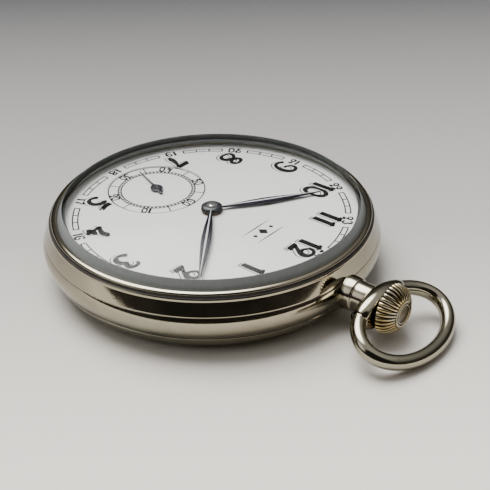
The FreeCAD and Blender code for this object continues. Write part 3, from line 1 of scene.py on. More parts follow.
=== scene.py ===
"""Looks of the open face pocket watch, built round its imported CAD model.

Lengths are in millimetres, in the watch's own frame: +Z out of the dial, +Y towards the
crown, the back flat on Z = 0. They become metres as each mesh is made. CAD nodes that are
right as they stand get a material; the case, glass, crown, bow, dial print and hands are
rebuilt here with softer edges and finer detail, in the CAD nodes' own places.
"""
import math

import bmesh
import bpy
from mathutils import Matrix, Vector


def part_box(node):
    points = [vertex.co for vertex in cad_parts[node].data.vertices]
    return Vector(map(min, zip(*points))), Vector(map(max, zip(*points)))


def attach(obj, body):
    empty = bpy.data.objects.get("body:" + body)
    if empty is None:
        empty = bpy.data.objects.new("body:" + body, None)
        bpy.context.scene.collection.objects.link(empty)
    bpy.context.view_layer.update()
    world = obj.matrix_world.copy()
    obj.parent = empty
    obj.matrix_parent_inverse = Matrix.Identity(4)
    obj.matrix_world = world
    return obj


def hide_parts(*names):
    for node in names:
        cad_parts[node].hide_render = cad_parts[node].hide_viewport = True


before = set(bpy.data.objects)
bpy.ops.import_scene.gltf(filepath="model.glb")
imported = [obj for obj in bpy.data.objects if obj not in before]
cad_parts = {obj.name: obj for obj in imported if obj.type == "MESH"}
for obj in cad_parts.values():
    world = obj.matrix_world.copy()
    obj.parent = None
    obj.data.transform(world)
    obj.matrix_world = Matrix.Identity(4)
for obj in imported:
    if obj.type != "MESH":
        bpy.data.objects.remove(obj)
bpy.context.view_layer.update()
MM = 0.001


def node_box(name):
    """Lowest and highest corner of a CAD node, in millimetres."""
    low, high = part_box(name)
    return low / MM, high / MM


# ---------------------------------------------------------------- sizes from the frame

DIAL_TOP = 8.4
HANDS_CENTRE = (0.0, 0.0)
SECONDS_CENTRE = (0.0, -10.7)
STEM_LEVEL = 4.4
CASE_RADIUS = node_box("case_middle")[1].x
CRYSTAL_TOP = node_box("crystal")[1].z
BOW_HINGE = Vector((0, 28.9, STEM_LEVEL))
BOW_DROOP = math.radians(22.5)
HOUR_ANGLE, MINUTE_ANGLE, SECONDS_ANGLE = 304.5, 54.0, 201.5
AROUND = 384            # steps round a turned part


# ---------------------------------------------------------------- node materials

def add(tree, kind, inputs=(), **settings):
    """One shader node; an input may be a value or another node's socket."""
    made = tree.nodes.new(kind)
    for key, value in settings.items():
        setattr(made, key, value)
    for key, value in dict(inputs).items():
        socket = made.inputs[key]
        if isinstance(value, bpy.types.NodeSocket):
            tree.links.new(value, socket)
        else:
            socket.default_value = value
    return made


def math_node(tree, operation, first, second=0.0):
    return add(tree, "ShaderNodeMath", {0: first, 1: second}, operation=operation).outputs[0]


def ramp(tree, factor, *stops, smooth=False):
    """Colour or grey by position; each stop is (position, grey or colour)."""
    made = add(tree, "ShaderNodeValToRGB", {"Fac": factor})
    made.color_ramp.interpolation = "EASE" if smooth else "LINEAR"
    elements = made.color_ramp.elements
    while len(elements) < len(stops):
        elements.new(0.5)
    for element, (position, colour) in zip(elements, stops):
        element.position = position
        grey = isinstance(colour, (int, float))
        element.color = (colour, colour, colour, 1) if grey else (*colour, 1)
    return made.outputs["Color"]


def mix(tree, factor, first, second):
    """Blend of two colours; each input may be a value or a socket."""
    made = add(tree, "ShaderNodeMix", data_type="RGBA", blend_type="MIX")
    for socket, value in ((made.inputs[0], factor), (made.inputs[6], first), (made.inputs[7], second)):
        if isinstance(value, bpy.types.NodeSocket):
            tree.links.new(value, socket)
        elif isinstance(value, tuple):
            socket.default_value = (*value, 1)
        else:
            socket.default_value = value
    return made.outputs[2]


def noise(tree, place, scale_per_mm, detail=4.0, roughness=0.55, stretch=None):
    """Fractal noise whose grain is given per millimetre; stretch squeezes it along an axis."""
    spot = place
    if stretch:
        spot = add(tree, "ShaderNodeMapping", {"Vector": place, "Scale": stretch}).outputs[0]
    made = add(tree, "ShaderNodeTexNoise", {
        "Vector": spot, "Scale": scale_per_mm / MM, "Detail": detail, "Roughness": roughness})
    return made.outputs["Fac"]


def spots(tree, place, scale_per_mm, size):
    """Sparse round specks: 1 at a speck's middle, 0 away from it."""
    cells = add(tree, "ShaderNodeTexVoronoi", {"Vector": place, "Scale": scale_per_mm / MM})
    return ramp(tree, cells.outputs["Distance"], (0.0, 1.0), (size, 0.0))


def bump(tree, height, depth_mm, strength=1.0):
    made = add(tree, "ShaderNodeBump", {"Height": height, "Distance": depth_mm * MM, "Strength": strength})
    return made.outputs[0]


def new_material(name):
    """A material with its node tree, its surface shader and its place in the object."""
    made = bpy.data.materials.new(name)
    made.use_nodes = True
    tree = made.node_tree
    shader = tree.nodes["Principled BSDF"]
    place = add(tree, "ShaderNodeTexCoord").outputs["Object"]
    return made, tree, shader, place


def connect(tree, shader, **sockets):
    """Fill the surface shader's inputs; underscores stand for spaces."""
    for key, value in sockets.items():
        socket = shader.inputs[key.replace("_", " ")]
        if isinstance(value, bpy.types.NodeSocket):
            tree.links.new(value, socket)
        elif isinstance(value, tuple) and len(value) == 3:
            socket.default_value = (*value, 1)
        else:
            socket.default_value = value


def worn_metal(name, cool, warm, tarnish, gloss=0.13, pits=1.0):
    """Polished metal with patchy tint, fine scratches, pits and a little tarnish."""
    made, tree, shader, place = new_material(name)
    patches = ramp(tree, noise(tree, place, 0.045, 3), (0.38, 0.0), (0.66, 1.0), smooth=True)
    tint = mix(tree, patches, cool, warm)
    cloud = ramp(tree, noise(tree, place, 0.35, 6, 0.65), (0.52, 0.0), (0.8, 0.35))
    tint = mix(tree, cloud, tint, tarnish)
    pitted = ramp(tree, noise(tree, place, 0.12, 2), (0.5, 0.0), (0.62, pits))
    specks = math_node(tree, "MULTIPLY", spots(tree, place, 1.1, 0.2), pitted)
    tint = mix(tree, specks, tint, (0.07, 0.055, 0.04))
    hair = noise(tree, place, 2.0, 2, 0.5, (1.0, 0.06, 0.3))
    cross = noise(tree, place, 2.4, 2, 0.5, (0.05, 1.0, 0.4))
    scratches = math_node(tree, "ADD", hair, cross)
    rough = ramp(tree, noise(tree, place, 0.5, 5), (0.3, gloss * 0.75), (0.75, gloss * 1.9))
    rough = math_node(tree, "ADD", rough, math_node(tree, "MULTIPLY", specks, 0.1))
    dents = noise(tree, place, 0.09, 1.5)
    normal = bump(tree, dents, 0.05, 0.55)
    fine = add(tree, "ShaderNodeBump", {
        "Height": scratches, "Distance": 0.0022 * MM, "Strength": 0.5, "Normal": normal})
    sunk = add(tree, "ShaderNodeBump", {
        "Height": math_node(tree, "MULTIPLY", specks, -1.0), "Distance": 0.02 * MM, "Strength": 0.6,
        "Normal": fine.outputs[0]})
    connect(tree, shader, Base_Color=tint, Metallic=1.0, Roughness=rough, Normal=sunk.outputs[0])
    return made


def crown_metal():
    """Silver crown with gilding left in the flanks and painted shade in the grooves."""
    made, tree, shader, place = new_material("crown_gilt_silver")
    groove = add(tree, "ShaderNodeAttribute", attribute_name="groove").outputs["Fac"]
    gilt = ramp(tree, noise(tree, place, 0.5, 4), (0.4, 0.0), (0.6, 1.0))
    tint = mix(tree, gilt, (0.50, 0.46, 0.36), (0.55, 0.42, 0.19))
    # Painted shade: near black where the groove share is high, between the ribs and on the back rings
    # against the head.
    groove_shade = ramp(tree, groove, (0.12, 0.0), (0.45, 0.98))
    tint = mix(tree, groove_shade, tint, (0.012, 0.009, 0.005))
    rough = ramp(tree, groove, (0.2, 0.14), (0.9, 0.7))
    normal = bump(tree, noise(tree, place, 3.0, 3), 0.012, 0.5)
    connect(tree, shader, Base_Color=tint, Metallic=1.0, Roughness=rough, Normal=normal)
    return made


def dial_white():
    """Silvery white enamel with a soft mottle and a few specks of dust."""
    made, tree, shader, place = new_material("dial_white_enamel")
    mottle = noise(tree, place, 0.06, 4)
    cloud = ramp(tree, mottle, (0.3, (0.87, 0.868, 0.872)), (0.7, (0.92, 0.915, 0.915)))
    dusty = ramp(tree, noise(tree, place, 0.2, 2), (0.62, 0.0), (0.66, 0.55))
    dust = math_node(tree, "MULTIPLY", spots(tree, place, 0.9, 0.1), dusty)
    tint = mix(tree, dust, cloud, (0.25, 0.23, 0.2))
    normal = bump(tree, noise(tree, place, 3.0, 3), 0.004, 0.4)
    connect(tree, shader, Base_Color=tint, Roughness=0.45, Normal=normal, Specular_IOR_Level=0.25)
    return made


def print_black():
    """Dial print: matt black with slight unevenness."""
    made, tree, shader, place = new_material("dial_print_black")
    tint = ramp(tree, noise(tree, place, 6.0, 3), (0.3, 0.001), (0.8, 0.006))
    connect(tree, shader, Base_Color=tint, Roughness=0.6, Specular_IOR_Level=0.1)
    return made


def blued_steel(name, shine):
    """Heat-blued steel, almost black, with a faint change of tone along it."""
    made, tree, shader, place = new_material(name)
    heat = noise(tree, place, 0.35, 3)
    tint = ramp(tree, heat, (0.3, (0.004, 0.004, 0.009)), (0.7, (0.008, 0.009, 0.02)))
    rough = ramp(tree, noise(tree, place, 2.0, 4), (0.3, 0.22), (0.8, 0.4))
    normal = bump(tree, noise(tree, place, 5.0, 2, 0.5, (1, 0.2, 1)), 0.002, 0.4)
    connect(tree, shader, Base_Color=tint, Roughness=rough, Normal=normal, Specular_IOR_Level=shine)
    return made


def bright_crest():
    """Painted highlight along the top of a hand: a pale grey strip standing in for the reflection along its
    domed crest.
    """
    made, tree, shader, place = new_material("hand_bright_crest")
    tint = ramp(tree, noise(tree, place, 1.5, 4), (0.3, (0.62, 0.63, 0.66)), (0.7, (0.8, 0.8, 0.82)))
    connect(tree, shader, Base_Color=tint, Roughness=0.4)
    return made


def thin_glass():
    """Flat glass seen as two clear faces: mostly see-through, mirror-like at low angles."""
    made, tree, shader, place = new_material("crystal_clear")
    tree.nodes.remove(shader)
    turned_away = add(tree, "ShaderNodeLayerWeight", {"Blend": 0.5}).outputs["Facing"]
    facing = math_node(tree, "ADD", math_node(tree, "POWER", turned_away, 5.0), 0.02)
    smear = ramp(tree, noise(tree, place, 0.12, 5, 0.6), (0.45, 0.02), (0.75, 0.07))
    gloss = add(tree, "ShaderNodeBsdfGlossy", {"Roughness": smear})
    clear = add(tree, "ShaderNodeBsdfTransparent", {"Color": (0.985, 0.99, 0.985, 1)})
    both = add(tree, "ShaderNodeMixShader", {0: facing, 1: clear.outputs[0], 2: gloss.outputs[0]})
    tree.links.new(both.outputs[0], tree.nodes["Material Output"].inputs["Surface"])
    return made


def frosted_bevel():
    """Painted reflection on the glass's bevelled edge: an opaque grey-green tone with fine vertical grain,
    standing in for the light the bevel carries through the glass.
    """
    made, tree, shader, place = new_material("crystal_edge_painted_reflection")
    grain = noise(tree, place, 1.6, 5, 0.7, (1.0, 1.0, 0.25))
    tint = ramp(tree, grain, (0.3, (0.185, 0.2, 0.205)), (0.75, (0.225, 0.24, 0.245)))
    rough = ramp(tree, grain, (0.3, 0.3), (0.7, 0.42))
    normal = bump(tree, grain, 0.006, 0.4)
    connect(tree, shader, Base_Color=tint, Roughness=rough, Normal=normal, Specular_IOR_Level=0.5)
    return made


def dark_gap():
    """Painted shade for the case seams and the groove at the foot of the bezel's ridge: near black with a
    faint mottle.
    """
    made, tree, shader, place = new_material("seam_shadow")
    shade_mottle = noise(tree, place, 0.8, 4)
    tint = ramp(tree, shade_mottle, (0.3, (0.005, 0.004, 0.003)), (0.75, (0.022, 0.016, 0.01)))
    connect(tree, shader, Base_Color=tint, Roughness=0.75)
    return made


def finished_metal(name, low, high, rough_low, rough_high, grain=2.0, stretch=None, depth=0.004):
    """A movement metal: two tones by grain, with matching gloss and relief."""
    made, tree, shader, place = new_material(name)
    field = noise(tree, place, grain, 5, 0.6, stretch)
    patches = noise(tree, place, 0.15, 3)
    tint = mix(tree, patches, low, high)
    rough = ramp(tree, field, (0.3, rough_low), (0.75, rough_high))
    normal = bump(tree, field, depth, 0.6)
    connect(tree, shader, Base_Color=tint, Metallic=1.0, Roughness=rough, Normal=normal)
    return made


def striped_plate():
    """Gilt bridge metal with broad straight finishing stripes."""
    made, tree, shader, place = new_material("bridge_striped_gilt")
    turned = add(tree, "ShaderNodeMapping", {
        "Vector": place, "Rotation": (0, 0, math.radians(35))}).outputs[0]
    across = add(tree, "ShaderNodeSeparateXYZ", {"Vector": turned}).outputs["X"]
    cycle = math_node(tree, "FRACT", math_node(tree, "MULTIPLY", across, 1 / (2.4 * MM)))
    arc = noise(tree, turned, 3.0, 4, 0.6, (0.3, 1.0, 1.0))
    tone = ramp(tree, cycle, (0.0, (0.66, 0.5, 0.3)), (0.48, (0.83, 0.68, 0.45)),
                (1.0, (0.6, 0.45, 0.26)))
    rough = math_node(tree, "ADD", math_node(tree, "MULTIPLY", cycle, 0.16), 0.16)
    relief = math_node(tree, "ADD", cycle, math_node(tree, "MULTIPLY", arc, 0.35))
    normal = bump(tree, relief, 0.02, 0.5)
    connect(tree, shader, Base_Color=tone, Metallic=1.0, Roughness=rough, Normal=normal)
    return made


def ruby():
    """Synthetic ruby jewel, deep pink, with a painted sheen that brightens it towards its rim as its faces
    turn from view.
    """
    made, tree, shader, place = new_material("jewel_ruby")
    # Painted sheen: the colour brightens as the surface turns away from view.
    rim = add(tree, "ShaderNodeLayerWeight", {"Blend": 0.35}).outputs["Facing"]
    depth = noise(tree, place, 1.5, 2)
    deep = ramp(tree, depth, (0.3, (0.42, 0.01, 0.05)), (0.8, (0.62, 0.03, 0.1)))
    tint = mix(tree, rim, deep, (0.9, 0.25, 0.35))
    connect(tree, shader, Base_Color=tint, Roughness=0.06, Transmission_Weight=0.25, Coat_Weight=1.0)
    return made


def floor_paper():
    """Pale grey paper with painted light falloff: near white towards the camera, darkening to near black far
    behind the watch.
    """
    made, tree, shader, place = new_material("stage_paper")
    apart = add(tree, "ShaderNodeSeparateXYZ", {"Vector": place})
    away = math_node(tree, "ADD", math_node(tree, "MULTIPLY", apart.outputs["X"], FLOOR_AWAY[0]),
                     math_node(tree, "MULTIPLY", apart.outputs["Y"], FLOOR_AWAY[1]))
    share = add(tree, "ShaderNodeMapRange", {
        "Value": away, "From Min": -45 * MM, "From Max": 120 * MM}).outputs[0]
    tint = ramp(tree, share, (0.0, FLOOR_NEAR), (0.32, FLOOR_MIDDLE), (1.0, FLOOR_FAR))
    fibre = noise(tree, place, 0.8, 5)
    tint = mix(tree, math_node(tree, "MULTIPLY", fibre, 0.05), tint, (0.5, 0.5, 0.5))
    connect(tree, shader, Base_Color=tint, Roughness=0.85, Specular_IOR_Level=0.1,
            Normal=bump(tree, fibre, 0.03, 0.3))
    return made


CAMERA_AZIMUTH = math.radians(129.78)
CAMERA_ELEVATION = math.radians(31.18)
CAMERA_ROLL = math.radians(-0.904)
# Painted light falloff of the floor: its tone towards the camera, round the watch and far behind it.
FLOOR_AWAY = (-math.sin(CAMERA_AZIMUTH), math.cos(CAMERA_AZIMUTH))
FLOOR_NEAR = (0.93, 0.885, 0.82)
FLOOR_MIDDLE = (0.49, 0.475, 0.46)
FLOOR_FAR = (0.075, 0.077, 0.083)

NICKEL = worn_metal("case_nickel_silver", (0.31, 0.305, 0.235), (0.345, 0.308, 0.235),
                    (0.15, 0.12, 0.075), gloss=0.055)
NICKEL_INSIDE = worn_metal("case_inside", (0.6, 0.59, 0.56), (0.66, 0.6, 0.54), (0.4, 0.33, 0.25),
                           gloss=0.3, pits=0.5)
CROWN = crown_metal()
ENAMEL = dial_white()
PRINT = print_black()
BLUED_HAND = blued_steel("hand_blued_steel", 0.03)
BLUED_PLAIN = blued_steel("blued_screw_steel", 0.5)
CREST_HIGHLIGHT = bright_crest()
GLASS = thin_glass()
BEVEL_REFLECTION = frosted_bevel()
# Painted shade that fills the seams and the bezel's groove.
SEAM = dark_gap()
STRIPED = striped_plate()
GILT = finished_metal("gilt_frosted", (0.78, 0.58, 0.32), (0.86, 0.68, 0.42), 0.3, 0.5, 5.0, depth=0.01)
BRASS = finished_metal("brass_wheel", (0.8, 0.6, 0.3), (0.88, 0.7, 0.4), 0.18, 0.32, 3.0, (1, 0.15, 1))
STEEL = finished_metal("steel_polished", (0.55, 0.56, 0.57), (0.66, 0.66, 0.66), 0.1, 0.26, 3.0,
                       (0.2, 1, 1))
STEEL_SPRING = finished_metal("steel_spring", (0.3, 0.33, 0.4), (0.42, 0.44, 0.5), 0.2, 0.35)
RUBY = ruby()


# ---------------------------------------------------------------- mesh helpers

def smooth_by_angle(mesh, degrees=32):
    mesh.shade_smooth()
    mesh.set_sharp_from_angle(angle=math.radians(degrees))


def face_outwards(mesh):
    """Turn every face of a closed mesh to the outside."""
    work = bmesh.new()
    work.from_mesh(mesh)
    bmesh.ops.recalc_face_normals(work, faces=work.faces)
    work.to_mesh(mesh)
    work.free()


def make_object(name, vertices, faces, material, body, sharp=32, flat=False, choices=None):
    """An object from vertices in millimetres, riding on a CAD body. choices gives each
    face's place in a list of materials."""
    mesh = bpy.data.meshes.new(name)
    mesh.from_pydata([Vector(v) * MM for v in vertices], [], faces)
    if choices:
        mesh.polygons.foreach_set("material_index", choices)
    mesh.validate()
    if not flat:
        face_outwards(mesh)
    for one in (material if isinstance(material, list) else [material]):
        mesh.materials.append(one)
    smooth_by_angle(mesh, sharp)
    made = bpy.data.objects.new(name, mesh)
    bpy.context.scene.collection.objects.link(made)
    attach(made, body)
    return made


def bulge(start, end, radius, steps=14):
    """Points of an arc from start to end that swells to the right of the way travelled."""
    p, q = Vector(start), Vector(end)
    chord = q - p
    side = Vector((chord.y, -chord.x)).normalized() * math.copysign(1, radius)
    reach = abs(radius)
    centre = (p + q) / 2 - side * math.sqrt(max(reach ** 2 - (chord.length / 2) ** 2, 0))
    first, last = p - centre, q - centre
    sweep = first.angle_signed(last)
    points = []
    for step in range(steps + 1):
        turned = first.copy()
        turned.rotate(Matrix.Rotation(-sweep * step / steps, 2))
        points.append(tuple(centre + turned))
    return points


def soften(points, radius, closed=True, steps=3):
    """Round the corners of an outline that turn by more than 20 degrees."""
    result = []
    count = len(points)
    for index, point in enumerate(points):
        here = Vector(point)
        before = Vector(points[index - 1]) - here
        after = Vector(points[(index + 1) % count]) - here
        end_point = not closed and index in (0, count - 1)
        if end_point or before.length < 1e-6 or after.length < 1e-6:
            result.append(tuple(here))
            continue
        if math.pi - before.angle(after) < math.radians(20):
            result.append(tuple(here))
            continue
        cut = min(radius, before.length * 0.45, after.length * 0.45)
        start, end = here + before.normalized() * cut, here + after.normalized() * cut
        for step in range(steps + 1):
            share = step / steps
            result.append(tuple(start.lerp(here, share).lerp(here.lerp(end, share), share)))
    return result


def ring_faces(rings, around, closed_ends=True, loop=False, first=0):
    """Quads between rings of equal length."""
    faces = []
    last = rings if loop else rings - 1
    for ring in range(last):
        low, high = first + ring * around, first + (ring + 1) % rings * around
        for step in range(around):
            after = (step + 1) % around
            faces.append((low + step, low + after, high + after, high + step))
    if closed_ends and not loop:
        faces.append(tuple(first + step for step in reversed(range(around))))
        faces.append(tuple(first + (rings - 1) * around + step for step in range(around)))
    return faces


def lathe(name, profile, material, body, closed=True, around=AROUND, sharp=32):
    """Turn an outline of (radius, height) points about the dial's axis; it runs anticlockwise."""
    vertices = []
    for radius, height in profile:
        for step in range(around):
            angle = 2 * math.pi * step / around
            vertices.append((radius * math.cos(angle), radius * math.sin(angle), height))
    faces = ring_faces(len(profile), around, closed_ends=False, loop=closed)
    return make_object(name, vertices, faces, material, body, sharp)


# ---------------------------------------------------------------- case

SEAM_FRONT = (23.7, 6.28)
SEAM_BACK = (23.15, 2.8)
BELLY = (CASE_RADIUS, 5.1)
BELLY_END = (CASE_RADIUS - 0.09, 5.68)
GAP = 0.03              # half width of a case seam


def build_case():
    """Back, middle and bezel as turned shells with soft edges, and rings of painted shade in the seams
    between them.
    """
    under_seam = (SEAM_BACK[0], SEAM_BACK[1] - 2 * GAP)
    shell = [(0.02, 0.0), (18.0, 0.0), (19.3, 0.0)] + bulge((19.5, 0.0), under_seam, 3.78, 24)
    shell += [(22.5, under_seam[1]), (22.46, 1.75), (22.0, 1.2), (20.9, 0.72), (19.5, 0.6), (19.3, 0.6),
              (18.0, 0.6), (0.02, 0.6)]
    cover = lathe("back_shell", soften(shell, 0.09), NICKEL, "back_cover")
    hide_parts("back_cover")

    side = bulge(SEAM_BACK, BELLY, 3.54, 20) + bulge(BELLY, BELLY_END, 1.92, 8)[1:] + [SEAM_FRONT]
    band = [(21.3, 1.8), (22.42, 1.8), (22.42, SEAM_BACK[1])] + side
    band += [(22.58, SEAM_FRONT[1]), (22.58, 8.38), (21.85, 8.38), (21.85, 7.78), (21.3, 7.78),
             (21.3, 5.75), (20.7, 5.75), (20.7, 5.25), (21.3, 5.25)]
    middle = lathe("case_band", soften(band, 0.04), NICKEL, "case")
    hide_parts("case_middle")

    over_seam = (SEAM_FRONT[0], SEAM_FRONT[1] + 2 * GAP)
    wall = bulge(over_seam, (22.97, 8.32), 90, 14) + bulge((22.97, 8.32), (22.88, 8.6), 0.45, 8)[1:]
    ridge = bulge((22.6, 8.86), (22.47, 9.17), 0.35, 6) + bulge((22.47, 9.17), (21.95, 9.27), 0.9, 8)[1:]
    ridge += bulge((21.95, 9.27), (21.74, 8.95), 0.35, 6)[1:]
    ring = [(22.62, over_seam[1])] + wall + [(22.82, 8.52), (22.6, 8.6)]
    ring += ridge + [(21.74, 8.7), (21.25, 8.7), (21.25, 8.46), (22.62, 8.46)]
    bezel = lathe("bezel_ring", soften(ring, 0.025), NICKEL, "bezel")
    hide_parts("bezel")

    # Near-black rings of painted shade set just inside each seam's gap, standing in for the shadow in it.
    for name, (radius, level) in (("seam_front", SEAM_FRONT), ("seam_back", under_seam)):
        outline = [(radius - 0.6, level - GAP), (radius - 0.05, level - GAP),
                   (radius - 0.05, level + 3 * GAP), (radius - 0.6, level + 3 * GAP)]
        lathe(name, outline, SEAM, "case")
    # Painted shade: a near-black fillet at the foot of the bezel's ridge, darkening the groove and the
    # ridge's lower flank, which would otherwise catch light reflected from the wall.
    groove = [(22.5, 8.5), (22.83, 8.5), (22.87, 8.6), (22.72, 8.66), (22.63, 8.85), (22.6, 8.98),
              (22.5, 9.0)]
    lathe("groove_shadow", groove, SEAM, "bezel")


def build_crystal():
    """Flat glass: clear top and underside, and a bevel round the rim coloured with a painted reflection."""
    inner, outer = 21.02, 21.68
    profile = [(0.02, CRYSTAL_TOP), (inner - 0.05, CRYSTAL_TOP), (inner, CRYSTAL_TOP - 0.03)]
    profile += [(outer - 0.02, 9.06), (outer, 9.0), (outer, 8.75), (21.2, 8.75), (20.55, 9.62),
                (0.02, 9.62)]
    made = lathe("crystal_flat", profile, [GLASS, BEVEL_REFLECTION], "bezel")
    # Faces on the bevel take the painted reflection; the rest is clear glass.
    for face in made.data.polygons:
        reach = math.hypot(face.center.x, face.center.y) / MM
        face.material_index = 1 if reach > inner - 0.2 and face.center.z > 8.8 * MM else 0
    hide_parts("crystal")


# ---------------------------------------------------------------- pendant, crown, bow

def to_stem_axis(points):
    """(across, up, along the stem) to the watch's frame."""
    return [(x, y, z + STEM_LEVEL) for x, z, y in points]


def turned_on_stem(profile, around, wobble=None):
    """Rings about the stem's axis from (radius, distance from the dial's axis)."""
    points = []
    for index, (radius, reach) in enumerate(profile):
        for step in range(around):
            angle = 2 * math.pi * step / around
            size = radius - (wobble(index, angle) if wobble else 0)
            points.append((size * math.cos(angle), size * math.sin(angle), reach))
    return to_stem_axis(points)


def build_pendant():
    """Two drums and a flared oval head, cut flat behind the crown."""
    neck = [(1.2, 21.6), (2.35, 21.6), (2.35, 23.6), (2.34, 24.4), (2.27, 25.1), (2.2, 25.22), (2.12, 25.26),
            (2.09, 25.34), (2.08, 25.6), (2.04, 26.4), (2.0, 27.4), (1.2, 27.4)]
    around = 128
    vertices = turned_on_stem(soften(neck, 0.05, closed=False), around)
    rings = len(vertices) // around
    faces = ring_faces(rings, around, closed_ends=False)
    centre, end, long_half, deep, high = 28.65, 4.72, 5.6, 2.0, 2.55
    face_reach, edge = 1.07, 0.09
    steps = 64
    first = len(vertices)
    spans = [-end, -end + 0.05] + [-end + 0.05 + (2 * end - 0.1) * i / steps for i in range(1, steps)]
    spans += [end - 0.05, end]
    for x in spans:
        size = math.sqrt(1 - (x / long_half) ** 2)
        size *= 0.965 if abs(x) == end else 1.0
        for step in range(around):
            angle = 2 * math.pi * step / around
            y, z = deep * size * math.cos(angle), high * size * math.sin(angle)
            over = max(y - (face_reach - edge), 0)
            y = min(y, face_reach - edge) + edge * (1 - math.exp(-over / edge))
            vertices.append((x, centre + y, STEM_LEVEL + z))
    faces += ring_faces(len(spans), around, first=first)
    made = make_object("pendant_polished", vertices, faces, NICKEL, "case", sharp=24)
    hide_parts("pendant")


def build_crown():
    """Ribbed onion crown: rounded ribs that run out at a flat, ringed cap."""
    ribs, per_rib = 32, 12
    around = ribs * per_rib
    back, front = 29.95, 32.3
    body = [(2.9, back), (3.2, back + 0.02), (3.42, back + 0.1)]
    body += bulge((3.55, back + 0.25), (1.95, front - 0.1), 2.35, 22)
    depth = [0.0, 0.1, 0.24] + [0.30 - 0.17 * (i / 22) for i in range(23)]
    vertices, grooves = [], []
    for (radius, reach), deep in zip(body, depth):
        for step in range(around):
            angle = 2 * math.pi * step / around
            rib = abs(math.sin(angle * ribs / 2)) ** 0.55
            # The groove share is 1 on the back rings and rises between the ribs; the material paints shade
            # from it.
            grooves.append(1 - rib if deep > 0.05 else 1.0)
            size = radius - deep * (1 - rib)
            sunk = reach - 0.35 * deep * (1 - rib)
            vertices.append((size * math.cos(angle), size * math.sin(angle), sunk))
    # Cap rings as radius, reach and groove share; the share sets the painted shade in the cap's ring groove,
    # at its rim and at the step to its centre.
    cap = [(1.92, front - 0.14, 0.9), (1.9, front - 0.06, 0.4), (1.84, front, 0.2), (1.55, front, 0.15),
           (1.5, front - 0.04, 0.9), (1.4, front - 0.04, 0.9), (1.35, front, 0.15), (1.2, front, 0.2),
           (1.14, front - 0.07, 0.95), (1.06, front - 0.09, 0.36), (0.4, front - 0.1, 0.33),
           (0.01, front - 0.1, 0.3)]
    for radius, reach, groove in cap:
        for step in range(around):
            angle = 2 * math.pi * step / around
            vertices.append((radius * math.cos(angle), radius * math.sin(angle), reach))
            grooves.append(groove)
    rings = len(body) + len(cap)
    faces = ring_faces(rings, around)
    made = make_object("crown_ribbed", to_stem_axis(vertices), faces, CROWN, "stem", sharp=60)
    attribute = made.data.attributes.new("groove", "FLOAT", "POINT")
    attribute.data.foreach_set("value", grooves)
    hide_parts("crown")


def build_bow():
    """Oval bow of round wire, a little flat inside, its ends cut square against the head."""
    wide, reach, offset, wire, end = 7.95, 4.95, 3.76, 1.05, 4.78
    around, steps = 64, 220
    start = math.radians(-62)
    droop = Matrix.Rotation(-BOW_DROOP, 3, "X")
    vertices = []
    for step in range(steps + 1):
        angle = start + (math.pi - 2 * start) * step / steps
        centre = Vector((wide * math.cos(angle), offset + reach * math.sin(angle), 0))
        out = Vector((reach * math.cos(angle), wide * math.sin(angle), 0)).normalized()
        for turn in range(around):
            around_wire = 2 * math.pi * turn / around
            inward = max(-math.cos(around_wire), 0) ** 3
            size = wire * (1 - 0.13 * inward)
            rise = Vector((0, 0, size * math.sin(around_wire)))
            point = centre + out * size * math.cos(around_wire) + rise
            if abs(point.x) < end and point.y < offset:
                point.x = math.copysign(end, point.x)
            vertices.append(droop @ point + BOW_HINGE)
    faces = ring_faces(steps + 1, around)
    made = make_object("bow_wire_ring", vertices, faces, NICKEL, "bow", sharp=40)
    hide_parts("bow")


# ---------------------------------------------------------------- dial print

